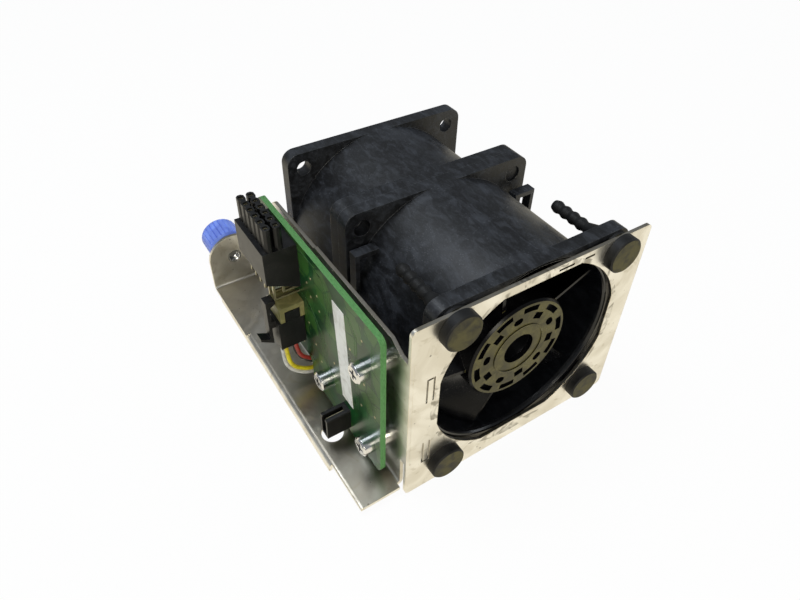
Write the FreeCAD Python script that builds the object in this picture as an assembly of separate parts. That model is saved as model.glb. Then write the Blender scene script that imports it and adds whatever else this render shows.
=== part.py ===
"""Server fan module: two counter-rotating 60 mm fans on one folded sheet-metal bracket.

The model is laid out about the fan axis: X to the right, Y from the front plate's face to the rear,
Z up, with the axis at X = 0, Z = 0. The finished nodes are then moved so that the origin is the
middle of the underside. All sizes are in millimetres.
"""
import FreeCAD
import Part
import math
import os

Vec = FreeCAD.Vector
PARTS_FOLDER = "parts"

# ---------------------------------------------------------------- folded bracket
SHEET_T = 1.0
BEND_INNER_R = 0.8
WALL_OUTER_X = -37.0
PLATE_RIGHT_X = 36.0
PLATE_TOP_DROP = 0.7
FOOT_DROP = 3.2
PLATE_CORNER_R = 1.6
OPENING_SIDE_INSET = 1.75
OPENING_TOP_INSET = 3.3
BEND_TOP_Z = 18.6
BEND_BOTTOM_Z = -20.0
BEND_NOTCH_DEPTH = 2.6
WALL_RISE_START_Y = 4.0
WALL_RISE_END_Y = 8.0
WALL_TOP_Z = 20.9
WALL_STEP_Y = 45.0
WALL_STEP_DROP = 0.6
WALL_END_Y = 72.0
WALL_END_CORNER_R = 3.5
PAN_RISE = 2.7
PAN_FRONT_Y = 1.2
PAN_WIDE_Y = 74.0
PAN_FRONT_EDGE_X = -49.7
PAN_HOLE_X = -44.7
PAN_HOLE_Y = 26.0
PAN_HOLE_R = 3.2
LIP_START_Y = 17.0
LIP_END_Y = 96.0
TAB_FRONT_Y = 101.0
TAB_HALF_WIDTH = 8.7
TAB_X = -42.0
TAB_HOLE_Z = -19.6
TAB_HOLE_R = 2.45
LEAD_HOLE_Y = 47.0
LEAD_HOLE_Z = -24.6
LEAD_HOLE_LENGTH = 11.0
LEAD_HOLE_HEIGHT = 8.4
LANCE_CUT = 0.5
LANCE_WIDTH = 2.4
LANCE_HEIGHT = 8.6
LANCE_PLACES = ((-31.1, -17.6, 1), (-31.0, 7.1, -1))
EDGE_SLOT_HEIGHT = 0.6
EDGE_SLOT_Z = 27.7
EDGE_SLOTS = ((12.9, 16.1), (4.4, 9.4))

# ---------------------------------------------------------------- rubber isolators
ISOLATOR_NECK_R = 2.45
ISOLATOR_HEAD_R = 5.1
ISOLATOR_HEAD_T = 2.8
ISOLATOR_FACE_R = 4.75
ISOLATOR_COLLAR_R = 4.6
ISOLATOR_GAP = 1.0
ISOLATOR_BARB_R = 3.2
ISOLATOR_BARB_LENGTH = 5.5
ISOLATOR_TAIL_R = 1.4
ISOLATOR_BEAD_R = 1.8
ISOLATOR_BEADS = 4
ISOLATOR_BEAD_PITCH = 2.9
ISOLATOR_BEAD_RISE = 1.16
ISOLATOR_BEAD_CREST = 0.58

# ---------------------------------------------------------------- fan frames
FAN_SIZE = 60.0
FAN_HOLE_INSET = 5.0
FAN_HOLE_R = 2.25
FAN_CORNER_R = 3.6
FLANGE_T = 4.0
FRONT_FAN_LENGTH = 43.0
REAR_FAN_LENGTH = 33.0
BARREL_SWELL = 0.2
BORE_INSET = 1.6
INLET_FLARE = 0.9
INLET_DEPTH = 2.6
STRUT_COUNT = 7
STRUT_T = 1.3
STRUT_DEPTH = 6.0
STRUT_LEAN = 22.0
CHANNEL_ANGLE = 215.0
CHANNEL_WIDTH = 5.9
CHANNEL_DEPTH = 1.7
CHANNEL_WALL = 0.9
CHANNEL_END_MARGIN = 1.6
GUIDE_WEB_SEAM_GAP = 6.0
GUIDE_WEB_T = 3.0
GUIDE_WEB_REACH = 7.0
GUIDE_WEB_TOP_Z = 21.0
GUIDE_WEB_THICK = 1.4
GUIDE_RIB_DROP = 15.0
GUIDE_RIB_T = 1.2
SEAM_PEG_CLEARANCE = 0.05
SEAM_PEG_LENGTH = 3.4
SEAM_PEG_ROOT = 2.4

# ---------------------------------------------------------------- motor, measured from the seam
HUB_R = 16.0
HUB_WALL = 1.2
HUB_FACE_INSET = 1.6
HUB_FACE_T = 1.5
HUB_EYE_R = 4.8
HUB_RING_R = 8.3
HUB_RING_H = 0.25
HUB_OPEN_END = 7.0
HUB_SLOT_COUNT = 10
HUB_SLOT_IN_R = 12.85
HUB_SLOT_OUT_R = 14.6
HUB_PATTERN_ANGLE = -8.0
HUB_SLOT_SPAN = 21.0
HUB_WINDOW_MID_R = 10.9
HUB_WINDOW_LENGTH = 2.9
HUB_WINDOW_DEPTH = 2.1
BLADE_COUNT = 5
BLADE_TIP_GAP = 0.5
BLADE_ROOT_T = 1.98
BLADE_TIP_T = 1.76
BLADE_EDGE_THINNING = 0.45
BLADE_START = 3.4
BLADE_END_GAP = 9.6
BLADE_ROOT_SINK = 0.4
BLADE_STATIONS = 6
BLADE_WRAP_PER_MM = 2.75
BLADE_CAMBER = 0.32
BLADE_TIP_LAG = 7.0
FIRST_BLADE_ANGLE = 40.0
YOKE_WALL = 0.9
YOKE_WELL_DEPTH = 4.4
YOKE_BOSS_R = 3.2
YOKE_BOSS_LENGTH = 3.0
MAGNET_T = 1.5
MAGNET_LENGTH = 12.0
MAGNET_SEAM_GAP = 8.6
CORE_SEAM_GAP = 10.2
CORE_LENGTH = 9.0
AIR_GAP = 0.4
CORE_TEETH = 6
CORE_TOOTH_WIDTH = 2.4
CORE_SHOE_T = 1.3
CORE_SHOE_SPAN = 46.0
CORE_RING_T = 1.8
INSULATOR_T = 0.8
COIL_WALL = 1.3
COIL_RADIAL_LENGTH = 2.8
COIL_RING_GAP = 0.4
COIL_CORNER_R = 1.04
SHAFT_R = 1.5
SHAFT_RUNNING_GAP = 0.03
SHAFT_SEAM_GAP = 2.4
BEARING_R = 3.0
BEARING_LENGTH = 2.5
BEARING_SHIELD_INSET = 0.25
BEARING_RACE_T = 0.45
LOWER_BEARING_SEAM_GAP = 4.2
UPPER_BEARING_HUB_GAP = 1.0
PRELOAD_T = 0.35
PRELOAD_R = 2.5
PRELOAD_CONE = 0.3
CLIP_SEAM_GAP = 3.1
CLIP_T = 0.4
CLIP_R = 2.5
CLIP_GROOVE_R = 1.2
SLEEVE_R = 4.5
SLEEVE_FLOOR = 0.8
BASE_BOSS_WALL = 0.8
BASE_BOSS_LENGTH = 4.0
BASE_DISC_T = 2.5
BASE_CUP_R = 16.8
BASE_CUP_WALL = 1.2
BASE_CUP_DEPTH = 6.2
DRIVER_SEAM_GAP = 4.6
DRIVER_T = 1.2
DRIVER_EDGE_GAP = 0.6
LINK_PIN_SIZE = 0.6
LINK_PIN_PITCH = 1.5
LINK_PIN_COUNT = 4
LINK_PIN_R = 10.5
LINK_WINDOW_MARGIN = 0.8

# ---------------------------------------------------------------- control board
BOARD_GAP = 2.4
BOARD_T = 1.6
BOARD_FRONT_Y = 6.0
BOARD_REAR_Y = 71.0
BOARD_TOP_Z = 23.5
BOARD_BOTTOM_Z = -27.5
BOARD_CORNER_R = 2.2
BOARD_CUT_Y = 44.0
BOARD_CUT_Z = -18.6
SCREW_PLACES = ((13.2, 7.6), (11.2, -19.6), (34.2, -17.0), (66.5, -13.4))
STANDOFF_R = 2.75
STANDOFF_SHANK_R = 2.1
SCREW_R = 1.25
SCREW_HEAD_R = 2.75
SCREW_HEAD_H = 3.2
SCREW_HEAD_CHAMFER = 0.45
SCREW_SLOT_WIDTH = 0.8
SCREW_SLOT_LENGTH = 3.2
SCREW_SLOT_DEPTH = 1.2
SCREW_HOLE_CLEARANCE = 0.3
SCREW_TIP_GAP = 0.6
LABEL_T = 0.12
LABEL_TOP_Z = 18.0
LABEL_HEADER_GAP = 2.9
LABEL_FRONT_Y = 22.6
LABEL_WIDTH = 5.7
LABEL_LEAN = 3.0

# ---------------------------------------------------------------- blind-mate connector
MATE_COLUMNS = 6
MATE_PITCH = 3.0
MATE_FRONT_Y = 46.7
MATE_OUTER_X = -50.4
MATE_BLOCK_TOP_Z = 22.5
MATE_TOP_Z = 29.5
MATE_INNER_BOTTOM_Z = 8.0
MATE_OUTER_BOTTOM_Z = 12.5
MATE_ROWS_X = (-48.1, -45.4)
MATE_TOWER_X = 2.1
MATE_TOWER_Y = 2.7
MATE_TOWER_CHAMFER = 0.6
MATE_WEB_T = 1.2
MATE_CELL = 1.3
MATE_CONTACT_GAP = 0.05
MATE_CONTACT_BORE = 0.7
MATE_CONTACT_INSET = 0.5
MATE_CONTACT_LENGTH = 9.0
MATE_CONTACT_DEPTH = 6.0
TAIL_SIZE = 0.6
TAIL_Z = (5.6, 7.4)
TAIL_OUT = 0.4

# ---------------------------------------------------------------- fan header and plug
HEADER_FRONT_Y = 46.0
HEADER_LENGTH = 7.4
HEADER_OUTER_X = -48.2
HEADER_TOP_Z = 3.2
HEADER_SKIRT_Z = -2.0
HEADER_WALL = 1.3
HEADER_ROOF = 1.5
PLUG_OUTER_X = -49.0
PLUG_BOARD_GAP = 0.3
PLUG_TOP_INSET = 0.4
PLUG_SHOULDER_GAP = 0.1
PLUG_BOTTOM_Z = -12.0
PLUG_ROWS_X = (-47.0, -43.9)
PLUG_COLUMNS_Y = (48.2, 51.2)
PLUG_CELL = 1.9
PLUG_NOSE_WALL = 0.3
PIN_SIZE = 0.64
PIN_DEPTH = 4.6
CRIMP_SIZE = 1.5
CRIMP_TOP_INSET = 0.9
CRIMP_LENGTH = 6.0
LATCH_Y = 49.7
LATCH_WIDTH = 3.0
LATCH_OUTER_X = -51.0
LATCH_T = 0.9
LATCH_TOP_Z = 5.0
LATCH_BOTTOM_Z = -10.4
LATCH_ROOT_Z = -4.6
LATCH_ROOT_HEIGHT = 2.2
LATCH_HOOK_X = -53.8
LATCH_HOOK_Z = -7.2
LATCH_CLAW = 1.1

# ---------------------------------------------------------------- second header
AUX_FRONT_Y = 21.4
AUX_REAR_Y = 25.3
AUX_OUTER_X = -48.2
AUX_TOP_Z = -17.9
AUX_BOTTOM_Z = -25.5
AUX_WALL = 0.8
AUX_POCKET_DEPTH = 6.0
AUX_KEY_WIDTH = 1.5
AUX_PINS = 4
AUX_PIN_PITCH = 1.5

# ---------------------------------------------------------------- fan leads
LEAD_R = 0.65
LEAD_PITCH = 1.42
LEAD_RUN_SHARE = 0.45
LEAD_Y = 45.86
LEAD_TURN_R = 13.2
LEAD_ENTRY_R = 42.0
LEAD_FIRST_Z = -15.2
LEAD_ROUTES = {
    "lead_red": (1, 0, 0, ((-43.2, 47.0, -18.9), (-39.4, 46.4, -21.6))),
    "lead_black": (1, 1, 1, ((-43.4, 48.8, -20.4), (-39.4, 47.0, -23.4))),
    "lead_yellow": (0, 0, 2, ((-46.6, 46.9, -21.2), (-41.4, 46.3, -25.2))),
    "lead_white": (0, 1, 3, ((-47.4, 49.0, -23.4), (-41.8, 47.0, -27.6))),
}

# ---------------------------------------------------------------- captive thumbscrew
KNOB_R = 6.45
KNOB_GROOVE_R = 0.4
KNOB_GROOVES = 24
KNOB_REAR_Y = 116.0
KNOB_CHAMFER = 0.8
KNOB_LIP_T = 1.2
KNOB_TRAVEL = 3.0
FERRULE_FLANGE_R = 4.2
FERRULE_FLANGE_T = 1.0
FERRULE_SLEEVE_R = 3.2
FERRULE_BEAD_R = 3.8
FERRULE_BEAD_T = 0.5
FERRULE_BEAD_GAP = 0.3
THUMB_RUNNING_GAP = 0.06
THUMB_SHANK_R = 1.8
THUMB_TIP_RECESS = 1.3
THUMB_TIP_CHAMFER = 0.5
THUMB_CAVITY_R = 4.2
THUMB_CAVITY_LENGTH = 6.0
THUMB_SEAT_LENGTH = 2.0
SPRING_WIRE_R = 0.25
SPRING_MEAN_R = 2.9
SPRING_TURNS = 3.0
SPRING_FACETS = 14
THRUST_WASHER_T = 0.4
THRUST_WASHER_GAP = 0.15

# ---------------------------------------------------------------- places worked out from the sizes
WALL_INNER_X = WALL_OUTER_X + SHEET_T
BEND_OUTER_R = BEND_INNER_R + SHEET_T
PAN_EDGE_X = TAB_X - TAB_HALF_WIDTH
PAN_WIDE_X = TAB_X + TAB_HALF_WIDTH
FAN_HALF = FAN_SIZE / 2
HOLE_OFFSET = FAN_HALF - FAN_HOLE_INSET
BARREL_R = FAN_HALF + BARREL_SWELL
BORE_R = FAN_HALF - BORE_INSET
INLET_R = BORE_R + INLET_FLARE
BARREL_MID_R = (BORE_R + BARREL_R) / 2
PLATE_TOP_Z = FAN_HALF - PLATE_TOP_DROP
REST_Z = -FAN_HALF - FOOT_DROP
PAN_TOP_Z = REST_Z + PAN_RISE
BOSS_END_Y = HUB_FACE_INSET + HUB_FACE_T + YOKE_WELL_DEPTH + YOKE_WALL + YOKE_BOSS_LENGTH
UPPER_BEARING_Y = BOSS_END_Y + UPPER_BEARING_HUB_GAP
FAN_FRONT_Y = SHEET_T + ISOLATOR_GAP
SEAM_Y = FAN_FRONT_Y + FRONT_FAN_LENGTH
FAN_REAR_Y = SEAM_Y + REAR_FAN_LENGTH
BOARD_BACK_X = WALL_OUTER_X - BOARD_GAP
BOARD_FACE_X = BOARD_BACK_X - BOARD_T
MATE_REAR_Y = MATE_FRONT_Y + MATE_COLUMNS * MATE_PITCH
HEADER_REAR_Y = HEADER_FRONT_Y + HEADER_LENGTH
TAB_REAR_Y = TAB_FRONT_Y + SHEET_T
KNOB_FRONT_Y = TAB_REAR_Y + FERRULE_FLANGE_T + KNOB_TRAVEL
BEAD_FRONT_Y = KNOB_FRONT_Y + KNOB_LIP_T + FERRULE_BEAD_GAP
BEAD_REAR_Y = BEAD_FRONT_Y + FERRULE_BEAD_T
CAVITY_REAR_Y = KNOB_FRONT_Y + KNOB_LIP_T + THUMB_CAVITY_LENGTH
ORIGIN_X = (LATCH_HOOK_X + PLATE_RIGHT_X) / 2
ORIGIN_Y = (KNOB_REAR_Y - ISOLATOR_HEAD_T) / 2
CORNERS = tuple((i * HOLE_OFFSET, k * HOLE_OFFSET) for i in (-1, 1) for k in (-1, 1))


# ---------------------------------------------------------------- drawing helpers
def box(x_range, y_range, z_range):
    """Return a block between the two values given for each axis."""
    low = Vec(min(x_range), min(y_range), min(z_range))
    high = Vec(max(x_range), max(y_range), max(z_range))
    return Part.makeBox(high.x - low.x, high.y - low.y, high.z - low.z, low)


def rod_x(radius, x_range, y, z):
    """Return a round bar along X."""
    return Part.makeCylinder(radius, max(x_range) - min(x_range), Vec(min(x_range), y, z), Vec(1, 0, 0))


def rod_y(radius, y_range, x=0.0, z=0.0):
    """Return a round bar along Y."""
    return Part.makeCylinder(radius, max(y_range) - min(y_range), Vec(x, min(y_range), z), Vec(0, 1, 0))


def rod_z(radius, z_range, x, y):
    """Return a round bar along Z."""
    return Part.makeCylinder(radius, max(z_range) - min(z_range), Vec(x, y, min(z_range)), Vec(0, 0, 1))


def ring_y(outer_r, inner_r, y_range, x=0.0, z=0.0):
    """Return a tube along Y."""
    return rod_y(outer_r, y_range, x, z).cut(rod_y(inner_r, y_range, x, z))


def prism(points, normal, length):
    """Return the polygon through the points, extruded along an axis vector."""
    wire = Part.makePolygon([Vec(*p) for p in points] + [Vec(*points[0])])
    return Part.Face(wire).extrude(Vec(*normal) * length)


def prism_x(points_yz, x_range):
    """Return a Y-Z polygon extruded along X."""
    low = min(x_range)
    return prism([(low, y, z) for y, z in points_yz], (1, 0, 0), max(x_range) - low)


def prism_y(points_xz, y_range):
    """Return an X-Z polygon extruded along Y."""
    low = min(y_range)
    return prism([(x, low, z) for x, z in points_xz], (0, 1, 0), max(y_range) - low)


def prism_z(points_xy, z_range):
    """Return an X-Y polygon extruded along Z."""
    low = min(z_range)
    return prism([(x, y, low) for x, y in points_xy], (0, 0, 1), max(z_range) - low)


def turned(points_ry, x=0.0, z=0.0):
    """Return a closed radius-Y profile turned about the line along Y through (x, z)."""
    wire = Part.makePolygon([Vec(r, y, 0) for r, y in points_ry] + [Vec(points_ry[0][0], points_ry[0][1], 0)])
    solid = Part.Face(wire).revolve(Vec(0, 0, 0), Vec(0, 1, 0), 360)
    solid.translate(Vec(x, 0, z))
    return solid


def union(shapes):
    """Fuse shapes into one clean solid."""
    if len(shapes) == 1:
        return shapes[0]
    return shapes[0].fuse(shapes[1:]).removeSplitter()


def less(shape, tools):
    """Cut all the tools from a shape."""
    return shape.cut(tools) if tools else shape


def about_axis(shape, angle):
    """Return a copy turned about the fan axis; positive is counter-clockwise seen from the front."""
    copy = shape.copy()
    copy.rotate(Vec(0, 0, 0), Vec(0, 1, 0), -angle)
    return copy


def spaced_about_axis(shape, count, first=0.0):
    """Return copies of a shape spaced evenly about the fan axis."""
    return [about_axis(shape, first + i * 360.0 / count) for i in range(count)]


def round_edges(shape, radius, chosen):
    """Fillet the edges for which chosen(edge) is true."""
    edges = [edge for edge in shape.Edges if chosen(edge)]
    return shape.makeFillet(radius, edges) if edges else shape


def runs_along(edge, axis):
    """Say whether an edge is a straight line along the axis numbered 0, 1 or 2."""
    if len(edge.Vertexes) != 2:
        return False
    step = edge.Vertexes[1].Point - edge.Vertexes[0].Point
    return step.Length > 1e-6 and abs(abs(step[axis]) - step.Length) < 1e-6


def line_at(axis, place, tolerance=0.01):
    """Return a test for straight edges along an axis whose middle lies at the two other coordinates."""
    others = [i for i in range(3) if i != axis]

    def chosen(edge):
        if not runs_along(edge, axis):
            return False
        middle = (edge.Vertexes[0].Point + edge.Vertexes[1].Point) * 0.5
        return all(abs(middle[i] - p) < tolerance for i, p in zip(others, place))
    return chosen


def any_of(tests):
    """Return a test that is true where any of the tests is."""
    return lambda edge: any(test(edge) for test in tests)


def polar(radius, angle):
    """Return (x, z) at a radius and an angle in degrees, counter-clockwise seen from the front."""
    return radius * math.cos(math.radians(angle)), radius * math.sin(math.radians(angle))


def sector(outer_r, inner_r, span, y_range):
    """Return a ring sector about the fan axis, centred on +X."""
    reach = 2 * outer_r
    half = span / 2
    corners = [(0, 0), polar(reach, -half), polar(reach, half)]
    return ring_y(outer_r, inner_r, y_range).common(prism_y(corners, y_range))


# ---------------------------------------------------------------- bracket
def wall_and_pan():
    """Return the side wall, the pan at its foot and the pan's down-turned lip as one bent section."""
    under = PAN_TOP_Z - SHEET_T
    lip_inner = PAN_EDGE_X + SHEET_T
    section = [(WALL_OUTER_X, WALL_TOP_Z), (WALL_OUTER_X, PAN_TOP_Z), (PAN_EDGE_X, PAN_TOP_Z)]
    section += [(PAN_EDGE_X, REST_Z), (lip_inner, REST_Z), (lip_inner, under)]
    section += [(WALL_INNER_X, under), (WALL_INNER_X, WALL_TOP_Z)]
    strip = prism_y(section, (0, TAB_REAR_Y))
    inner = any_of([line_at(1, (WALL_OUTER_X, PAN_TOP_Z)), line_at(1, (lip_inner, under))])
    outer = any_of([line_at(1, (WALL_INNER_X, under)), line_at(1, (PAN_EDGE_X, PAN_TOP_Z))])
    strip = round_edges(strip, BEND_INNER_R, inner)
    return round_edges(strip, BEND_OUTER_R, outer)


def wall_outline():
    """Return the wall's side view as a block that keeps only the wall and what lies left of it."""
    rear_top = WALL_TOP_Z - WALL_STEP_DROP
    outline = [(BEND_NOTCH_DEPTH, REST_Z), (BEND_NOTCH_DEPTH, BEND_BOTTOM_Z), (0, BEND_BOTTOM_Z)]
    outline += [(0, BEND_TOP_Z), (WALL_RISE_START_Y, BEND_TOP_Z), (WALL_RISE_END_Y, WALL_TOP_Z)]
    outline += [(WALL_STEP_Y, WALL_TOP_Z), (WALL_STEP_Y + WALL_STEP_DROP, rear_top)]
    outline += [(WALL_END_Y, rear_top), (WALL_END_Y, REST_Z)]
    side = prism_x(outline, (WALL_OUTER_X - BEND_INNER_R, WALL_INNER_X))
    return round_edges(side, WALL_END_CORNER_R, line_at(0, (WALL_END_Y, rear_top)))


def pan_outline():
    """Return the pan's plan view, left of the wall's foot, as a block."""
    right = WALL_OUTER_X - BEND_INNER_R
    plan = [(right, PAN_FRONT_Y), (PAN_FRONT_EDGE_X, PAN_FRONT_Y), (PAN_FRONT_EDGE_X, LIP_START_Y)]
    plan += [(PAN_EDGE_X, LIP_START_Y), (PAN_EDGE_X, TAB_REAR_Y), (right, TAB_REAR_Y)]
    return prism_z(plan, (REST_Z, PAN_TOP_Z))


def lip_trims():
    """Return the blocks that end the lip short of the pan's two ends."""
    under = PAN_TOP_Z - SHEET_T
    reach = (PAN_EDGE_X, PAN_EDGE_X + BEND_OUTER_R)
    front = box(reach, (0, LIP_START_Y), (REST_Z, under))
    rear = box(reach, (LIP_END_Y, TAB_REAR_Y), (REST_Z, under))
    return [front, rear]


def tab_and_rear_pan():
    """Return the wide rear end of the pan with the upturned, round-topped tab."""
    under = PAN_TOP_Z - SHEET_T
    side = [(PAN_WIDE_Y, PAN_TOP_Z), (TAB_FRONT_Y, PAN_TOP_Z), (TAB_FRONT_Y, TAB_HOLE_Z + TAB_HALF_WIDTH)]
    side += [(TAB_REAR_Y, TAB_HOLE_Z + TAB_HALF_WIDTH), (TAB_REAR_Y, under), (PAN_WIDE_Y, under)]
    fold = prism_x(side, (PAN_EDGE_X, PAN_WIDE_X))
    fold = round_edges(fold, BEND_INNER_R, line_at(0, (TAB_FRONT_Y, PAN_TOP_Z)))
    fold = round_edges(fold, BEND_OUTER_R, line_at(0, (TAB_REAR_Y, under)))
    crown = (TAB_HOLE_Z, TAB_HOLE_Z + TAB_HALF_WIDTH)
    above = box((PAN_EDGE_X, PAN_WIDE_X), (TAB_FRONT_Y, TAB_REAR_Y), crown)
    round_top = rod_y(TAB_HALF_WIDTH, (TAB_FRONT_Y, TAB_REAR_Y), TAB_X, TAB_HOLE_Z)
    return fold.cut(above.cut(round_top))


def front_plate():
    """Return the front plate with its opening, rounded corners and the bend towards the wall."""
    plate = box((WALL_OUTER_X, PLATE_RIGHT_X), (0, SHEET_T), (REST_Z, PLATE_TOP_Z))
    plate = round_edges(plate, PLATE_CORNER_R, lambda edge: runs_along(edge, 1))
    slot = box((WALL_OUTER_X, WALL_INNER_X), (0, SHEET_T), (BEND_BOTTOM_Z, BEND_TOP_Z))
    turn = BEND_OUTER_R + SHEET_T
    bend = [(WALL_OUTER_X, 0), (WALL_OUTER_X + turn, 0), (WALL_OUTER_X + turn, SHEET_T)]
    bend += [(WALL_INNER_X, SHEET_T), (WALL_INNER_X, turn), (WALL_OUTER_X, turn)]
    corner = prism_z(bend, (BEND_BOTTOM_Z, BEND_TOP_Z))
    corner = round_edges(corner, BEND_OUTER_R, line_at(2, (WALL_OUTER_X, 0)))
    corner = round_edges(corner, BEND_INNER_R, line_at(2, (WALL_INNER_X, SHEET_T)))
    strip = box((WALL_OUTER_X, WALL_OUTER_X + turn), (0, SHEET_T), (BEND_BOTTOM_Z, BEND_TOP_Z))
    return union([plate.cut(slot.fuse(strip)), corner])


def plate_cuts():
    """Return the tools for the air opening, isolator holes, lanced tabs and edge slots."""
    depth = (-SHEET_T, 2 * SHEET_T)
    half_x = FAN_HALF - OPENING_SIDE_INSET
    half_z = FAN_HALF - OPENING_TOP_INSET
    window = box((-half_x, half_x), depth, (-half_z, half_z))
    tools = [rod_y(INLET_R, depth).common(window)]
    tools += [rod_y(ISOLATOR_NECK_R, depth, x, z) for x, z in CORNERS]
    for x, z, way in LANCE_PLACES:
        tools += lance(x, z, way, depth)
    half = EDGE_SLOT_HEIGHT / 2
    tools += [box(ends, depth, (EDGE_SLOT_Z - half, EDGE_SLOT_Z + half)) for ends in EDGE_SLOTS]
    return tools


def lance(x, z, way, depth):
    """Return the three thin cuts that leave a small tongue; way is +1 where the tongue points down."""
    half_w = LANCE_WIDTH / 2
    half_h = LANCE_HEIGHT / 2
    span = (z - half_h, z + half_h)
    end = z - way * half_h
    left = box((x - half_w, x - half_w + LANCE_CUT), depth, span)
    right = box((x + half_w - LANCE_CUT, x + half_w), depth, span)
    foot = box((x - half_w, x + half_w), depth, (end, end + way * LANCE_CUT))
    return [union([left, right, foot])]


def lead_hole():
    """Return the rounded slot through the wall for the fan leads."""
    depth = (WALL_OUTER_X - SHEET_T, WALL_INNER_X + SHEET_T)
    half_y = LEAD_HOLE_LENGTH / 2
    half_z = LEAD_HOLE_HEIGHT / 2
    tall = (LEAD_HOLE_Z - half_z, LEAD_HOLE_Z + half_z)
    slot = box(depth, (LEAD_HOLE_Y - half_y, LEAD_HOLE_Y + half_y), tall)
    return round_edges(slot, LEAD_HOLE_HEIGHT / 3, lambda edge: runs_along(edge, 0))


def bracket():
    """Return the whole bracket, folded from one sheet."""
    strip = wall_and_pan()
    kept = strip.common(wall_outline().fuse(pan_outline())).cut(lip_trims())
    body = union([front_plate(), kept, tab_and_rear_pan()])
    wall_depth = (WALL_OUTER_X - SHEET_T, WALL_INNER_X + SHEET_T)
    tools = plate_cuts() + [lead_hole()]
    tools += [rod_x(STANDOFF_SHANK_R, wall_depth, y, z) for y, z in SCREW_PLACES]
    tools.append(rod_z(PAN_HOLE_R, (REST_Z, PAN_TOP_Z + SHEET_T), PAN_HOLE_X, PAN_HOLE_Y))
    tools.append(rod_y(TAB_HOLE_R, (TAB_FRONT_Y - SHEET_T, TAB_REAR_Y + SHEET_T), TAB_X, TAB_HOLE_Z))
    return less(body, tools).removeSplitter()


# ---------------------------------------------------------------- isolators
def isolator(x, z):
    """Return one pull-through rubber isolator: head, neck, collar, barb and beaded tail."""
    flange_rear = FAN_FRONT_Y + FLANGE_T
    barb_end = flange_rear + ISOLATOR_BARB_LENGTH
    edge = ISOLATOR_HEAD_R - ISOLATOR_FACE_R
    profile = [(0, -ISOLATOR_HEAD_T), (ISOLATOR_FACE_R, -ISOLATOR_HEAD_T)]
    profile += [(ISOLATOR_HEAD_R, -ISOLATOR_HEAD_T + edge), (ISOLATOR_HEAD_R, 0), (ISOLATOR_NECK_R, 0)]
    profile += [(ISOLATOR_NECK_R, SHEET_T), (ISOLATOR_COLLAR_R, SHEET_T), (ISOLATOR_COLLAR_R, FAN_FRONT_Y)]
    profile += [(ISOLATOR_NECK_R, FAN_FRONT_Y), (ISOLATOR_NECK_R, flange_rear)]
    profile += [(ISOLATOR_BARB_R, flange_rear)]
    profile += [(ISOLATOR_TAIL_R, barb_end)]
    for i in range(ISOLATOR_BEADS):
        start = barb_end + i * ISOLATOR_BEAD_PITCH
        profile += [(ISOLATOR_BEAD_R, start + ISOLATOR_BEAD_RISE)]
        profile += [(ISOLATOR_BEAD_R, start + ISOLATOR_BEAD_RISE + ISOLATOR_BEAD_CREST)]
        profile += [(ISOLATOR_TAIL_R, start + ISOLATOR_BEAD_PITCH)]
    profile += [(0, barb_end + ISOLATOR_BEADS * ISOLATOR_BEAD_PITCH)]
    return turned(profile, x, z)


def rubber_isolators():
    """Return the four isolators."""
    return [isolator(x, z) for x, z in CORNERS]


# ---------------------------------------------------------------- fan frames
def seam_range(length, near, far):
    """Return the Y range between two distances from the seam, for a fan of the given length at Y = 0."""
    return length - far, length - near


def frame_shell(length, hole_r):
    """Return the square flanges with their corner holes and the round barrel, open right through."""
    square = box((-FAN_HALF, FAN_HALF), (0, length), (-FAN_HALF, FAN_HALF))
    square = round_edges(square, FAN_CORNER_R, lambda edge: runs_along(edge, 1))
    waist = (FLANGE_T, length - FLANGE_T)
    outside = box((-FAN_SIZE, FAN_SIZE), waist, (-FAN_SIZE, FAN_SIZE)).cut(rod_y(BARREL_R, waist))
    bore = rod_y(BORE_R, (-1, length + 1))
    steps = 4
    mouth = [(BORE_R, INLET_DEPTH), (0, INLET_DEPTH), (0, 0), (INLET_R, 0)]
    for i in range(1, steps):
        turn = math.radians(90.0 * i / steps)
        mouth.append((INLET_R - (INLET_R - BORE_R) * math.sin(turn), INLET_DEPTH * (1 - math.cos(turn))))
    holes = [rod_y(hole_r, (-1, length + 1), x, z) for x, z in CORNERS]
    return less(square, [outside, bore, turned(mouth)] + holes)


def struts(length):
    """Return the leaning vanes that carry the motor base, leaving out the one that is the lead channel."""
    near_r = BASE_CUP_R - BASE_CUP_WALL / 2
    far_r = BARREL_MID_R
    vane = box((near_r, far_r), seam_range(length, 0, STRUT_DEPTH), (-STRUT_T / 2, STRUT_T / 2))
    vane.rotate(Vec(0, length, 0), Vec(1, 0, 0), STRUT_LEAN)
    trimmed = vane.common(rod_y(far_r, seam_range(length, 0, STRUT_DEPTH)))
    step = 360.0 / STRUT_COUNT
    return [about_axis(trimmed, CHANNEL_ANGLE + i * step) for i in range(1, STRUT_COUNT)]


def motor_base(length):
    """Return the cup, disc and boss that carry the motor, closed towards the seam."""
    cup = ring_y(BASE_CUP_R, BASE_CUP_R - BASE_CUP_WALL, seam_range(length, 0, BASE_CUP_DEPTH))
    disc = rod_y(BASE_CUP_R - BASE_CUP_WALL / 2, seam_range(length, 0, BASE_DISC_T))
    boss = rod_y(SLEEVE_R + BASE_BOSS_WALL, seam_range(length, 0, BASE_BOSS_LENGTH))
    seat = rod_y(SLEEVE_R, seam_range(length, SLEEVE_FLOOR, BASE_BOSS_LENGTH + 1))
    return union([cup, disc, boss]).cut(seat)


def channel_strut(length):
    """Return the flat strut that carries the lead channel."""
    half = CHANNEL_WIDTH / 2 + CHANNEL_WALL
    near_r = BASE_CUP_R - BASE_CUP_WALL / 2
    bar = box((near_r, BARREL_R), seam_range(length, 0, CHANNEL_DEPTH + CHANNEL_WALL), (-half, half))
    bar = bar.common(rod_y(BARREL_MID_R, (0, length)))
    return about_axis(bar, CHANNEL_ANGLE)


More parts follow.
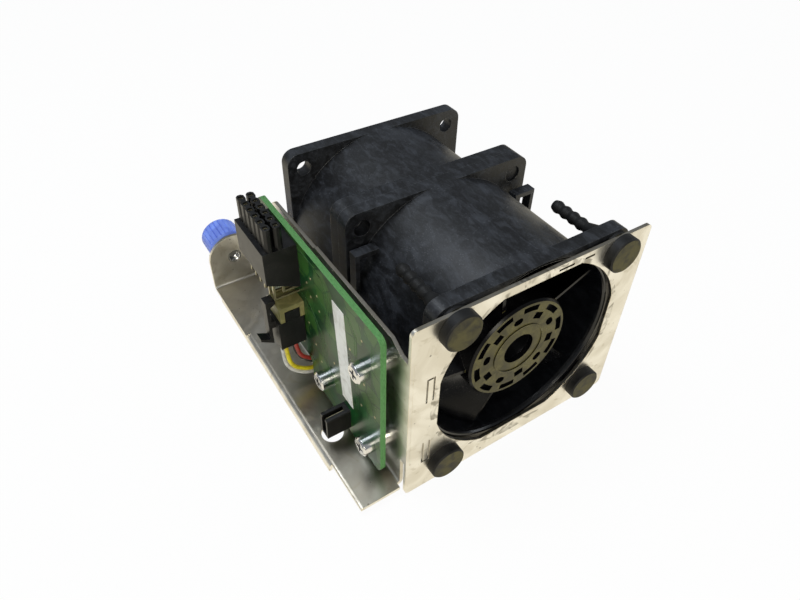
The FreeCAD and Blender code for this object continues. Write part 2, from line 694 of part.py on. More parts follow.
def channel_cut(length):
    """Return the tool for the lead channel and the window where the leads turn to the driver board."""
    half = CHANNEL_WIDTH / 2
    near = LEAD_TURN_R - CHANNEL_END_MARGIN
    far = LEAD_TURN_R + CHANNEL_END_MARGIN
    groove = box((near, FAN_SIZE), seam_range(length, -1, CHANNEL_DEPTH), (-half, half))
    window = box((near, far), seam_range(length, -1, BASE_DISC_T), (-half, half))
    return about_axis(groove.fuse(window), CHANNEL_ANGLE)


def link_window(length):
    """Return the slot in the motor base for the pins that join the two driver boards."""
    half_x = LINK_PIN_SIZE / 2 + LINK_WINDOW_MARGIN
    half_z = (LINK_PIN_COUNT - 1) * LINK_PIN_PITCH / 2 + half_x
    radial = (LINK_PIN_R - half_x, LINK_PIN_R + half_x)
    slot = box(radial, seam_range(length, -1, BASE_DISC_T), (-half_z, half_z))
    return about_axis(slot, CHANNEL_ANGLE + 180)


def frame(length, hole_r):
    """Return a fan frame with its outer face at Y = 0, its seam face at Y = length and its corner holes."""
    solid = union([frame_shell(length, hole_r), motor_base(length), channel_strut(length)] + struts(length))
    return solid.cut(link_window(length))


def guide_web(side):
    """Return the lead guide moulded into a top corner recess of the front frame."""
    rear = SEAM_Y - GUIDE_WEB_SEAM_GAP
    span = (rear - GUIDE_WEB_T, rear)
    outer = side * FAN_HALF
    shelf_z = (GUIDE_WEB_TOP_Z - GUIDE_WEB_THICK, GUIDE_WEB_TOP_Z)
    shelf = box((outer, outer - side * GUIDE_WEB_REACH), span, shelf_z)
    rib = box((outer, outer - side * GUIDE_RIB_T), span, (GUIDE_WEB_TOP_Z - GUIDE_RIB_DROP, GUIDE_WEB_TOP_Z))
    bore = rod_y(BARREL_MID_R, span)
    return union([shelf, rib]).cut(bore)


def front_fan_frame():
    """Return the front frame in place, with its lead guides."""
    solid = frame(FRONT_FAN_LENGTH, ISOLATOR_NECK_R)
    solid.translate(Vec(0, FAN_FRONT_Y, 0))
    return union([solid, guide_web(-1), guide_web(1)])


def rear_fan_frame():
    """Return the rear frame in place: the mirror image, with the lead channel and the locating pegs."""
    solid = frame(REAR_FAN_LENGTH, FAN_HOLE_R).cut(channel_cut(REAR_FAN_LENGTH))
    solid = mirrored_to_rear(solid)
    peg_r = ISOLATOR_NECK_R - SEAM_PEG_CLEARANCE
    span = (SEAM_Y - SEAM_PEG_LENGTH, SEAM_Y + SEAM_PEG_ROOT)
    pegs = [rod_y(peg_r, span, x, z) for x, z in CORNERS if x * z > 0]
    return union([solid] + [peg_plug(x, z) for x, z in CORNERS if x * z > 0] + pegs)


def peg_plug(x, z):
    """Return the moulded web that closes a rear frame hole round its locating peg."""
    return rod_y(FAN_HOLE_R, (SEAM_Y, SEAM_Y + SEAM_PEG_ROOT), x, z)


def mirrored_to_rear(shape):
    """Return the shape of a fan at Y = 0 .. length mirrored so that it ends at the rear face."""
    copy = shape.mirror(Vec(0, 0, 0), Vec(0, 1, 0))
    copy.translate(Vec(0, FAN_REAR_Y, 0))
    return copy


def moved_to_front(shape):
    """Return the shape of a fan at Y = 0 .. length moved to the front fan's place."""
    copy = shape.copy()
    copy.translate(Vec(0, FAN_FRONT_Y, 0))
    return copy


# ---------------------------------------------------------------- rotor
def hub_cut_tools():
    """Return the openings in the hub's face."""
    depth = (HUB_FACE_INSET - 1, HUB_FACE_INSET + HUB_FACE_T + HUB_RING_H)
    step = 360.0 / HUB_SLOT_COUNT
    arc = sector(HUB_SLOT_OUT_R, HUB_SLOT_IN_R, HUB_SLOT_SPAN, depth)
    tools = spaced_about_axis(arc, HUB_SLOT_COUNT, HUB_PATTERN_ANGLE + step / 2)
    half_r = HUB_WINDOW_DEPTH / 2
    half_t = HUB_WINDOW_LENGTH / 2
    radial = (HUB_WINDOW_MID_R - half_r, HUB_WINDOW_MID_R + half_r)
    square = box(radial, depth, (-half_t, half_t))
    oval = box(radial, depth, (half_r - half_t, half_t - half_r))
    ends = [rod_y(half_r, depth, HUB_WINDOW_MID_R, side * (half_t - half_r)) for side in (-1, 1)]
    tools += spaced_about_axis(square, HUB_SLOT_COUNT // 2, HUB_PATTERN_ANGLE)
    tools += spaced_about_axis(oval.fuse(ends), HUB_SLOT_COUNT // 2, HUB_PATTERN_ANGLE + step)
    return tools


def hub(length):
    """Return the impeller's hub: a cup with a pierced face."""
    end = length - HUB_OPEN_END
    face_back = HUB_FACE_INSET + HUB_FACE_T
    inner = HUB_R - HUB_WALL
    edge = HUB_WALL / 2
    profile = [(HUB_EYE_R, HUB_FACE_INSET), (HUB_R - edge, HUB_FACE_INSET), (HUB_R, HUB_FACE_INSET + edge)]
    profile += [(HUB_R, end), (inner, end), (inner, face_back), (HUB_EYE_R, face_back)]
    bead = ring_y(HUB_RING_R, HUB_RING_R - HUB_WALL / 2, (HUB_FACE_INSET - HUB_RING_H, HUB_FACE_INSET))
    return less(union([turned(profile), bead]), hub_cut_tools())


def blade_section(share, length):
    """Return a blade's outline across the axis at a share of its depth, from hub to tip."""
    depth = length - BLADE_START - BLADE_END_GAP
    y = BLADE_START + share * depth
    bend = share + BLADE_CAMBER * share * (1 - share)
    root_angle = FIRST_BLADE_ANGLE - BLADE_WRAP_PER_MM * depth * bend
    tip_angle = root_angle - BLADE_TIP_LAG
    root_r = HUB_R - BLADE_ROOT_SINK
    tip_r = BORE_R - BLADE_TIP_GAP
    taper = 1.0 - BLADE_EDGE_THINNING * abs(2 * share - 1) ** 3
    root_half = math.degrees(taper * BLADE_ROOT_T / 2 / root_r)
    tip_half = math.degrees(taper * BLADE_TIP_T / 2 / tip_r)
    corners = [(root_r, root_angle - root_half), (tip_r, tip_angle - tip_half)]
    corners += [(tip_r, tip_angle + tip_half), (root_r, root_angle + root_half)]
    points = [Vec(polar(r, a)[0], y, polar(r, a)[1]) for r, a in corners]
    return Part.makePolygon(points + [points[0]])


def blade(length):
    """Return one twisted blade, lofted through sections across the axis."""
    shares = [i / (BLADE_STATIONS - 1) for i in range(BLADE_STATIONS)]
    return Part.makeLoft([blade_section(share, length) for share in shares], True, False)


def impeller(length):
    """Return hub and blades as one moulding."""
    return union([hub(length)] + spaced_about_axis(blade(length), BLADE_COUNT))


def yoke(length):
    """Return the steel rotor cup with its central well and the boss that grips the shaft."""
    outer = HUB_R - HUB_WALL
    inner = outer - YOKE_WALL
    face = HUB_FACE_INSET + HUB_FACE_T
    floor = face + YOKE_WELL_DEPTH
    end = length - HUB_OPEN_END - YOKE_WALL / 2
    well = HUB_EYE_R + YOKE_WALL
    profile = [(HUB_EYE_R, face), (outer, face), (outer, end), (inner, end), (inner, face + YOKE_WALL)]
    profile += [(well, face + YOKE_WALL), (well, floor + YOKE_WALL), (YOKE_BOSS_R, floor + YOKE_WALL)]
    profile += [(YOKE_BOSS_R, BOSS_END_Y), (SHAFT_R, BOSS_END_Y), (SHAFT_R, floor), (HUB_EYE_R, floor)]
    return turned(profile)


def magnet(length):
    """Return the ring magnet inside the yoke."""
    outer = HUB_R - HUB_WALL - YOKE_WALL
    span = seam_range(length, MAGNET_SEAM_GAP, MAGNET_SEAM_GAP + MAGNET_LENGTH)
    return ring_y(outer, outer - MAGNET_T, span)


def shaft(length):
    """Return the rotor shaft with its clip groove."""
    top = HUB_FACE_INSET + HUB_FACE_T + YOKE_WELL_DEPTH - YOKE_WALL / 2
    rod = rod_y(SHAFT_R, (top, length - SHAFT_SEAM_GAP))
    groove = ring_y(SHAFT_R, CLIP_GROOVE_R, seam_range(length, CLIP_SEAM_GAP, CLIP_SEAM_GAP + CLIP_T))
    return rod.cut(groove)


def shaft_clip(length):
    """Return the open clip that keeps the rotor on its bearings."""
    span = seam_range(length, CLIP_SEAM_GAP, CLIP_SEAM_GAP + CLIP_T)
    mouth = box((0, CLIP_R), span, (-CLIP_GROOVE_R, CLIP_GROOVE_R))
    return ring_y(CLIP_R, CLIP_GROOVE_R, span).cut(mouth)


def preload_spring(_length):
    """Return the coned spring washer between the yoke's boss and the upper bearing."""
    start = BOSS_END_Y
    profile = [(SHAFT_R, start), (SHAFT_R, start + PRELOAD_T), (PRELOAD_R, start + PRELOAD_T + PRELOAD_CONE)]
    profile += [(PRELOAD_R, start + PRELOAD_CONE)]
    return turned(profile)


# ---------------------------------------------------------------- stator
def bearing_sleeve(length):
    """Return the brass tube that seats the two bearings."""
    span = (UPPER_BEARING_Y, length - SLEEVE_FLOOR)
    return ring_y(SLEEVE_R, BEARING_R, span)


def ball_bearing(y_range):
    """Return one shielded ball bearing as a closed ring with its shields set in."""
    inner = SHAFT_R + SHAFT_RUNNING_GAP
    ring = ring_y(BEARING_R, inner, y_range)
    low, high = y_range
    shield = (BEARING_R - BEARING_RACE_T, inner + BEARING_RACE_T)
    front = ring_y(shield[0], shield[1], (low, low + BEARING_SHIELD_INSET))
    rear = ring_y(shield[0], shield[1], (high - BEARING_SHIELD_INSET, high))
    return less(ring, [front, rear])


def ball_bearings(length):
    """Return the upper and lower bearing."""
    upper = UPPER_BEARING_Y
    lower = length - LOWER_BEARING_SEAM_GAP - BEARING_LENGTH
    return [ball_bearing((upper, upper + BEARING_LENGTH)), ball_bearing((lower, lower + BEARING_LENGTH))]


def core_outline(y_range, shoes=True):
    """Return the toothed outline of the stator stack over a Y range."""
    outer = HUB_R - HUB_WALL - YOKE_WALL - MAGNET_T - AIR_GAP
    neck_end = outer - CORE_SHOE_T
    ring = ring_y(SLEEVE_R + CORE_RING_T, SLEEVE_R, y_range)
    half = CORE_TOOTH_WIDTH / 2
    tooth = box((SLEEVE_R + CORE_RING_T / 2, neck_end + CORE_SHOE_T / 2), y_range, (-half, half))
    pieces = [ring] + spaced_about_axis(tooth, CORE_TEETH)
    if shoes:
        pieces += spaced_about_axis(sector(outer, neck_end, CORE_SHOE_SPAN, y_range), CORE_TEETH)
    return union(pieces)


def stator_core(length):
    """Return the lamination stack."""
    return core_outline(seam_range(length, CORE_SEAM_GAP, CORE_SEAM_GAP + CORE_LENGTH))


def stator_insulators(length):
    """Return the two moulded end caps that insulate the stack."""
    rear = seam_range(length, CORE_SEAM_GAP - INSULATOR_T, CORE_SEAM_GAP)
    top = CORE_SEAM_GAP + CORE_LENGTH
    front = seam_range(length, top, top + INSULATOR_T)
    return [core_outline(rear), core_outline(front)]


def windings(length):
    """Return the six coils round the teeth."""
    half_t = CORE_TOOTH_WIDTH / 2
    start = SLEEVE_R + CORE_RING_T + COIL_RING_GAP
    radial = (start, start + COIL_RADIAL_LENGTH)
    near = CORE_SEAM_GAP - INSULATOR_T
    far = CORE_SEAM_GAP + CORE_LENGTH + INSULATOR_T
    across = (-half_t - COIL_WALL, half_t + COIL_WALL)
    outer = box(radial, seam_range(length, near - COIL_WALL, far + COIL_WALL), across)
    outer = round_edges(outer, COIL_CORNER_R, lambda edge: runs_along(edge, 0))
    inner = box(radial, seam_range(length, near, far), (-half_t, half_t))
    return spaced_about_axis(outer.cut(inner), CORE_TEETH)


def driver_board(length):
    """Return the round driver board in the motor base."""
    outer = BASE_CUP_R - BASE_CUP_WALL - DRIVER_EDGE_GAP
    span = seam_range(length, DRIVER_SEAM_GAP, DRIVER_SEAM_GAP + DRIVER_T)
    return ring_y(outer, SLEEVE_R + BASE_BOSS_WALL, span)


def link_pins():
    """Return the pins through both motor bases that join the two driver boards."""
    half = LINK_PIN_SIZE / 2
    span = (SEAM_Y - DRIVER_SEAM_GAP, SEAM_Y + DRIVER_SEAM_GAP)
    middle = (LINK_PIN_COUNT - 1) / 2
    pins = []
    for i in range(LINK_PIN_COUNT):
        z = (i - middle) * LINK_PIN_PITCH
        pin = box((LINK_PIN_R - half, LINK_PIN_R + half), span, (z - half, z + half))
        pins.append(about_axis(pin, CHANNEL_ANGLE + 180))
    return pins


# ---------------------------------------------------------------- control board
def board_standoffs():
    """Return the four tapped standoffs riveted into the wall."""
    posts = []
    for y, z in SCREW_PLACES:
        post = rod_x(STANDOFF_R, (BOARD_BACK_X, WALL_OUTER_X), y, z)
        shank = rod_x(STANDOFF_SHANK_R, (WALL_OUTER_X, WALL_INNER_X), y, z)
        thread = rod_x(SCREW_R, (BOARD_BACK_X, WALL_INNER_X), y, z)
        posts.append(post.fuse(shank).cut(thread))
    return posts


def board_screw(y, z):
    """Return one cross-recessed cheese-head screw."""
    top = BOARD_FACE_X - SCREW_HEAD_H
    head = rod_x(SCREW_HEAD_R, (top, BOARD_FACE_X), y, z)
    rim = [edge for edge in head.Edges if abs(edge.CenterOfMass.x - top) < 0.01]
    head = head.makeChamfer(SCREW_HEAD_CHAMFER, rim)
    shank = rod_x(SCREW_R, (BOARD_FACE_X, WALL_INNER_X - SCREW_TIP_GAP), y, z)
    half_w = SCREW_SLOT_WIDTH / 2
    half_l = SCREW_SLOT_LENGTH / 2
    depth = (top, top + SCREW_SLOT_DEPTH)
    slots = [box(depth, (y - half_w, y + half_w), (z - half_l, z + half_l))]
    slots.append(box(depth, (y - half_l, y + half_l), (z - half_w, z + half_w)))
    return head.fuse(shank).cut(slots)


def board_screws():
    """Return the four screws."""
    return [board_screw(y, z) for y, z in SCREW_PLACES]


def mate_columns_y():
    """Return the Y place of each connector column."""
    return [MATE_FRONT_Y + (i + 0.5) * MATE_PITCH for i in range(MATE_COLUMNS)]


def aux_pins_z():
    """Return the height of each pin of the second header."""
    middle = (AUX_TOP_Z + AUX_BOTTOM_Z) / 2
    return [middle + (i - (AUX_PINS - 1) / 2) * AUX_PIN_PITCH for i in range(AUX_PINS)]


def tail_holes():
    """Return the square hole tools for every connector tail in the board."""
    depth = (BOARD_FACE_X - 1, BOARD_BACK_X + 1)
    holes = [square_bar_x(depth, y, z, TAIL_SIZE) for y in mate_columns_y() for z in TAIL_Z]
    holes += [square_bar_x(depth, y, header_pin_z(x), PIN_SIZE) for y in PLUG_COLUMNS_Y for x in PLUG_ROWS_X]
    holes += [square_bar_x(depth, (AUX_FRONT_Y + AUX_REAR_Y) / 2, z, PIN_SIZE) for z in aux_pins_z()]
    return holes


def square_bar_x(x_range, y, z, size):
    """Return a square bar along X."""
    half = size / 2
    return box(x_range, (y - half, y + half), (z - half, z + half))


def control_board():
    """Return the board with its cut-away corner, screw holes and tail holes."""
    outline = [(BOARD_FRONT_Y, BOARD_BOTTOM_Z), (BOARD_CUT_Y, BOARD_BOTTOM_Z), (BOARD_CUT_Y, BOARD_CUT_Z)]
    outline += [(BOARD_REAR_Y, BOARD_CUT_Z), (BOARD_REAR_Y, BOARD_TOP_Z), (BOARD_FRONT_Y, BOARD_TOP_Z)]
    board = prism_x(outline, (BOARD_FACE_X, BOARD_BACK_X))
    board = round_edges(board, BOARD_CORNER_R, lambda edge: runs_along(edge, 0))
    depth = (BOARD_FACE_X - 1, BOARD_BACK_X + 1)
    holes = [rod_x(SCREW_R + SCREW_HOLE_CLEARANCE, depth, y, z) for y, z in SCREW_PLACES]
    return less(board, holes + tail_holes())


def board_label():
    """Return the bare label stuck on the board's outer face."""
    bottom = AUX_TOP_Z + LABEL_HEADER_GAP
    foot = LABEL_FRONT_Y - LABEL_LEAN
    outline = [(LABEL_FRONT_Y, LABEL_TOP_Z), (LABEL_FRONT_Y + LABEL_WIDTH, LABEL_TOP_Z)]
    outline += [(foot + LABEL_WIDTH, bottom), (foot, bottom)]
    return prism_x(outline, (BOARD_FACE_X - LABEL_T, BOARD_FACE_X))


# ---------------------------------------------------------------- blind-mate connector
def mate_tower(x, y):
    """Return one octagonal contact tower."""
    half_x = MATE_TOWER_X / 2
    half_y = MATE_TOWER_Y / 2
    cut = MATE_TOWER_CHAMFER
    plan = [(x - half_x, y - half_y + cut), (x - half_x + cut, y - half_y), (x + half_x - cut, y - half_y)]
    plan += [(x + half_x, y - half_y + cut), (x + half_x, y + half_y - cut), (x + half_x - cut, y + half_y)]
    plan += [(x - half_x + cut, y + half_y), (x - half_x, y + half_y - cut)]
    return prism_z(plan, (MATE_BLOCK_TOP_Z - MATE_WEB_T, MATE_TOP_Z))


def blind_mate_housing():
    """Return the moulded housing: a block with a sloping underside and two rows of towers."""
    profile = [(BOARD_FACE_X, MATE_INNER_BOTTOM_Z), (BOARD_FACE_X, MATE_BLOCK_TOP_Z)]
    profile += [(MATE_OUTER_X, MATE_BLOCK_TOP_Z), (MATE_OUTER_X, MATE_OUTER_BOTTOM_Z)]
    block = prism_y(profile, (MATE_FRONT_Y, MATE_REAR_Y))
    places = [(x, y) for x in MATE_ROWS_X for y in mate_columns_y()]
    half_web = MATE_WEB_T / 2
    half_y = MATE_TOWER_Y / 2
    columns = mate_columns_y()
    rows = [box((x - half_web, x + half_web), (columns[0], columns[-1] + half_y - MATE_TOWER_CHAMFER),
                (MATE_BLOCK_TOP_Z, MATE_TOP_Z)) for x in MATE_ROWS_X]
    half_cell = MATE_CELL / 2
    tall = (0, MATE_TOP_Z)
    cells = [box((x - half_cell, x + half_cell), (y - half_cell, y + half_cell), tall) for x, y in places]
    return less(union([block] + [mate_tower(x, y) for x, y in places] + rows), cells)


def mate_contact(x, y, tail_z):
    """Return one socket contact with its right-angled tail."""
    half = MATE_CELL / 2 - MATE_CONTACT_GAP
    top = MATE_TOP_Z - MATE_CONTACT_INSET
    body = box((x - half, x + half), (y - half, y + half), (top - MATE_CONTACT_LENGTH, top))
    bore = MATE_CONTACT_BORE / 2
    socket = box((x - bore, x + bore), (y - bore, y + bore), (top - MATE_CONTACT_DEPTH, top))
    thin = TAIL_SIZE / 2
    drop = box((x - thin, x + thin), (y - thin, y + thin), (tail_z - thin, top - MATE_CONTACT_LENGTH))
    foot = square_bar_x((x - thin, BOARD_BACK_X + TAIL_OUT), y, tail_z, TAIL_SIZE)
    return union([body, drop, foot]).cut(socket)


def blind_mate_contacts():
    """Return the twelve contacts."""
    rows = zip(MATE_ROWS_X, TAIL_Z)
    return [mate_contact(x, y, tail_z) for x, tail_z in rows for y in mate_columns_y()]


# ---------------------------------------------------------------- fan header and plug
def header_pin_z(x):
    """Return the height at which the header pin of a row enters the board."""
    lowest = HEADER_TOP_Z - HEADER_ROOF / 2
    return lowest - PIN_SIZE if x == PLUG_ROWS_X[1] else lowest


def fan_header_shroud():
    """Return the board header's shroud, an inverted trough that opens downwards."""
    tall = (HEADER_SKIRT_Z, HEADER_TOP_Z)
    outer = box((HEADER_OUTER_X, BOARD_FACE_X), (HEADER_FRONT_Y, HEADER_REAR_Y), tall)
    outer = round_edges(outer, HEADER_WALL / 2, line_at(1, (HEADER_OUTER_X, HEADER_TOP_Z)))
    inner_x = (HEADER_OUTER_X + HEADER_WALL, BOARD_FACE_X - HEADER_WALL)
    pocket = box(inner_x, (HEADER_FRONT_Y, HEADER_REAR_Y), (HEADER_SKIRT_Z, HEADER_TOP_Z - HEADER_ROOF))
    return less(outer, [pocket] + [header_pin(x, y) for x in PLUG_ROWS_X for y in PLUG_COLUMNS_Y])


def header_pin(x, y):
    """Return one right-angled header pin."""
    half = PIN_SIZE / 2
    level = header_pin_z(x)
    down = box((x - half, x + half), (y - half, y + half), (HEADER_SKIRT_Z - PIN_DEPTH, level + half))
    foot = square_bar_x((x - half, BOARD_BACK_X + TAIL_OUT), y, level, PIN_SIZE)
    return down.fuse(foot).removeSplitter()


def fan_header_pins():
    """Return the four header pins."""
    return [header_pin(x, y) for x in PLUG_ROWS_X for y in PLUG_COLUMNS_Y]


def latch_arm():
    """Return the plug's latch: root, lever and finger hook."""
    span = (LATCH_Y - LATCH_WIDTH / 2, LATCH_Y + LATCH_WIDTH / 2)
    inner = LATCH_OUTER_X + LATCH_T
    claw_x = HEADER_OUTER_X - PLUG_SHOULDER_GAP
    profile = [(LATCH_OUTER_X, LATCH_TOP_Z), (claw_x, LATCH_TOP_Z), (claw_x, LATCH_TOP_Z - LATCH_CLAW)]
    profile += [(inner, LATCH_TOP_Z - 2 * LATCH_CLAW), (inner, LATCH_ROOT_Z + LATCH_ROOT_HEIGHT)]
    profile += [(PLUG_OUTER_X, LATCH_ROOT_Z + LATCH_ROOT_HEIGHT), (PLUG_OUTER_X, LATCH_ROOT_Z)]
    profile += [(inner, LATCH_ROOT_Z), (inner, LATCH_BOTTOM_Z), (LATCH_HOOK_X, LATCH_HOOK_Z - LATCH_T)]
    profile += [(LATCH_HOOK_X, LATCH_HOOK_Z), (LATCH_OUTER_X, LATCH_BOTTOM_Z + 2 * LATCH_T)]
    return prism_y(profile, span)


def fan_plug_housing():
    """Return the plug: body, nose inside the shroud, latch arm and contact cells."""
    inner_x = BOARD_FACE_X - PLUG_BOARD_GAP
    shoulder = HEADER_SKIRT_Z - PLUG_SHOULDER_GAP
    body = box((PLUG_OUTER_X, inner_x), (HEADER_FRONT_Y, HEADER_REAR_Y), (PLUG_BOTTOM_Z, shoulder))
    gap = PLUG_SHOULDER_GAP
    nose_x = (HEADER_OUTER_X + HEADER_WALL + gap, BOARD_FACE_X - HEADER_WALL - gap)
    nose_top = HEADER_TOP_Z - HEADER_ROOF - PLUG_TOP_INSET
    nose = box(nose_x, (HEADER_FRONT_Y + gap, HEADER_REAR_Y - gap), (shoulder, nose_top))
    half = PLUG_CELL / 2
    places = [(x, y) for x in PLUG_ROWS_X for y in PLUG_COLUMNS_Y]
    cell_z = (PLUG_BOTTOM_Z, shoulder - PLUG_NOSE_WALL)
    cells = [box((x - half, x + half), (y - half, y + half), cell_z) for x, y in places]
    entry = PIN_SIZE / 2 + PLUG_SHOULDER_GAP
    cells += [box((x - entry, x + entry), (y - entry, y + entry), (cell_z[1], nose_top)) for x, y in places]
    return less(union([body, nose, latch_arm()]), cells)


def fan_plug_contacts():
    """Return the four crimp contacts that hold the header pins and the lead ends."""
    half = CRIMP_SIZE / 2
    top = HEADER_SKIRT_Z - PLUG_SHOULDER_GAP - CRIMP_TOP_INSET
    pin = PIN_SIZE / 2
    contacts = []
    for x in PLUG_ROWS_X:
        for y in PLUG_COLUMNS_Y:
            body = box((x - half, x + half), (y - half, y + half), (top - CRIMP_LENGTH, top))
            pin_end = HEADER_SKIRT_Z - PIN_DEPTH
            socket = box((x - pin, x + pin), (y - pin, y + pin), (pin_end, top))
            contacts.append(body.cut(socket))
    return contacts


# ---------------------------------------------------------------- second header
def aux_header_housing():
    """Return the second header: a small box header with a keyed pocket."""
    shell = box((AUX_OUTER_X, BOARD_FACE_X), (AUX_FRONT_Y, AUX_REAR_Y), (AUX_BOTTOM_Z, AUX_TOP_Z))
    shell = round_edges(shell, AUX_WALL / 2, lambda edge: runs_along(edge, 0))
    pocket_y = (AUX_FRONT_Y + AUX_WALL, AUX_REAR_Y - AUX_WALL)
    pocket_x = (AUX_OUTER_X, AUX_OUTER_X + AUX_POCKET_DEPTH)
    pocket = box(pocket_x, pocket_y, (AUX_BOTTOM_Z + AUX_WALL, AUX_TOP_Z - AUX_WALL))
    middle = (AUX_FRONT_Y + AUX_REAR_Y) / 2
    half_key = AUX_KEY_WIDTH / 2
    key = box(pocket_x, (middle - half_key, middle + half_key), (AUX_TOP_Z - AUX_WALL, AUX_TOP_Z))
    return less(shell, [pocket, key] + aux_header_pins())


def aux_header_pins():
    """Return the second header's straight pins, from the pocket through the board."""
    y = (AUX_FRONT_Y + AUX_REAR_Y) / 2
    span = (AUX_OUTER_X + AUX_WALL, BOARD_BACK_X + TAIL_OUT)
    return [square_bar_x(span, y, z, PIN_SIZE) for z in aux_pins_z()]


# ---------------------------------------------------------------- leads
def channel_point(radius, slot, y):
    """Return a point in the lead channel at a radius from the fan axis, for one of the four slots."""
    offset = (slot - (len(LEAD_ROUTES) - 1) / 2) * LEAD_PITCH
    x, z = polar(radius, CHANNEL_ANGLE)
    turn = math.radians(CHANNEL_ANGLE)
    return Vec(x - offset * math.sin(turn), y, z + offset * math.cos(turn))


def rounded_path(points, name):
    """Return a wire of straight runs joined by tangent arcs, and print the arc radii."""
    edges = []
    start = points[0]
    radii = []
    for i in range(1, len(points) - 1):
        before = points[i] - points[i - 1]
        after = points[i + 1] - points[i]
        turn = before.getAngle(after)
        trim = LEAD_RUN_SHARE * min(before.Length, after.Length)
        radii.append(trim / math.tan(turn / 2))
        into = points[i] - before.normalize() * trim
        out_of = points[i] + after.normalize() * trim
        inward = (into + out_of) * 0.5 - points[i]
        to_middle = radii[-1] / math.cos(turn / 2) - radii[-1]
        middle = points[i] + inward.normalize() * to_middle
        edges += [Part.LineSegment(start, into).toShape(), Part.Arc(into, middle, out_of).toShape()]
        start = out_of
    edges.append(Part.LineSegment(start, points[-1]).toShape())
    print(name, "radii", [round(r, 1) for r in radii])
    return Part.Wire(edges)


def lead(name, row, column, slot, bends):
    """Return one lead swept from its crimp contact to the driver board."""
    crimp_x = PLUG_ROWS_X[row]
    crimp_y = PLUG_COLUMNS_Y[column]
    top = HEADER_SKIRT_Z - PLUG_SHOULDER_GAP - CRIMP_TOP_INSET - CRIMP_LENGTH
    points = [Vec(crimp_x, crimp_y, top), Vec(crimp_x, crimp_y, LEAD_FIRST_Z)] + [Vec(*p) for p in bends]
    points += [channel_point(LEAD_ENTRY_R, slot, LEAD_Y), channel_point(LEAD_TURN_R, slot, LEAD_Y)]
    points.append(channel_point(LEAD_TURN_R, slot, SEAM_Y + DRIVER_SEAM_GAP))
    path = rounded_path(points, name)
    start = Part.Wire(Part.makeCircle(LEAD_R, points[0], points[1] - points[0]))
    tube = path.makePipeShell([start], True, False)
    expected = math.pi * LEAD_R ** 2 * path.Length
    print(name, "volume", round(tube.Volume, 2), "section x length", round(expected, 2))
    return tube


# ---------------------------------------------------------------- captive thumbscrew
def thumbscrew_ferrule():
    """Return the ferrule pressed into the tab, with the bead that keeps the knob captive."""
    bore = THUMB_SHANK_R + THUMB_RUNNING_GAP
    flange_rear = TAB_REAR_Y + FERRULE_FLANGE_T
    profile = [(bore, TAB_FRONT_Y), (TAB_HOLE_R, TAB_FRONT_Y), (TAB_HOLE_R, TAB_REAR_Y)]
    profile += [(FERRULE_FLANGE_R, TAB_REAR_Y), (FERRULE_FLANGE_R, flange_rear)]
    profile += [(FERRULE_SLEEVE_R, flange_rear)]
    profile += [(FERRULE_SLEEVE_R, BEAD_FRONT_Y), (FERRULE_BEAD_R, BEAD_FRONT_Y)]
    profile += [(FERRULE_BEAD_R, BEAD_REAR_Y)]
    profile += [(bore, BEAD_REAR_Y)]
    return turned(profile, TAB_X, TAB_HOLE_Z)


def thumbscrew_knob():
    """Return the fluted knob, hollow over the ferrule."""
    lip_r = FERRULE_SLEEVE_R + THUMB_RUNNING_GAP
    lip_rear = KNOB_FRONT_Y + KNOB_LIP_T
    seat_rear = CAVITY_REAR_Y + THUMB_SEAT_LENGTH
    edge = KNOB_R - KNOB_CHAMFER
    profile = [(lip_r, KNOB_FRONT_Y), (edge, KNOB_FRONT_Y), (KNOB_R, KNOB_FRONT_Y + KNOB_CHAMFER)]
    profile += [(KNOB_R, KNOB_REAR_Y - KNOB_CHAMFER), (edge, KNOB_REAR_Y), (0, KNOB_REAR_Y), (0, seat_rear)]
    profile += [(THUMB_SHANK_R, seat_rear), (THUMB_SHANK_R, CAVITY_REAR_Y), (THUMB_CAVITY_R, CAVITY_REAR_Y)]
    profile += [(THUMB_CAVITY_R, lip_rear), (lip_r, lip_rear)]
    body = turned(profile, TAB_X, TAB_HOLE_Z)
    grooves = []
    for i in range(KNOB_GROOVES):
        x, z = polar(KNOB_R, i * 360.0 / KNOB_GROOVES)
        grooves.append(groove_prism(TAB_X + x, TAB_HOLE_Z + z, i * 360.0 / KNOB_GROOVES))
    return less(body, grooves)


def groove_prism(x, z, angle):
    """Return one V-shaped flute of the knob."""
    deep = polar(-KNOB_GROOVE_R, angle)
    side = polar(KNOB_GROOVE_R, angle + 90)
    out = polar(KNOB_GROOVE_R, angle)
    points = [(x + deep[0], z + deep[1]), (x + side[0] + out[0], z + side[1] + out[1])]
    points.append((x - side[0] + out[0], z - side[1] + out[1]))
    return prism_y(points, (KNOB_FRONT_Y, KNOB_REAR_Y))


def thumbscrew_screw():
    """Return the threaded shank, moulded into the knob at its rear end."""
    tip = TAB_FRONT_Y + THUMB_TIP_RECESS
    seat_rear = CAVITY_REAR_Y + THUMB_SEAT_LENGTH
    profile = [(0, tip), (THUMB_SHANK_R - THUMB_TIP_CHAMFER, tip), (THUMB_SHANK_R, tip + THUMB_TIP_CHAMFER)]
    profile += [(THUMB_SHANK_R, seat_rear), (0, seat_rear)]
    return turned(profile, TAB_X, TAB_HOLE_Z)


def thumbscrew_washer():
    """Return the thrust washer at the bottom of the knob's cavity, against the spring."""
    rear = CAVITY_REAR_Y - THRUST_WASHER_GAP
    inner = THUMB_SHANK_R + THUMB_RUNNING_GAP
    outer = THUMB_CAVITY_R - THUMB_RUNNING_GAP
    return ring_y(outer, inner, (rear - THRUST_WASHER_T, rear), TAB_X, TAB_HOLE_Z)


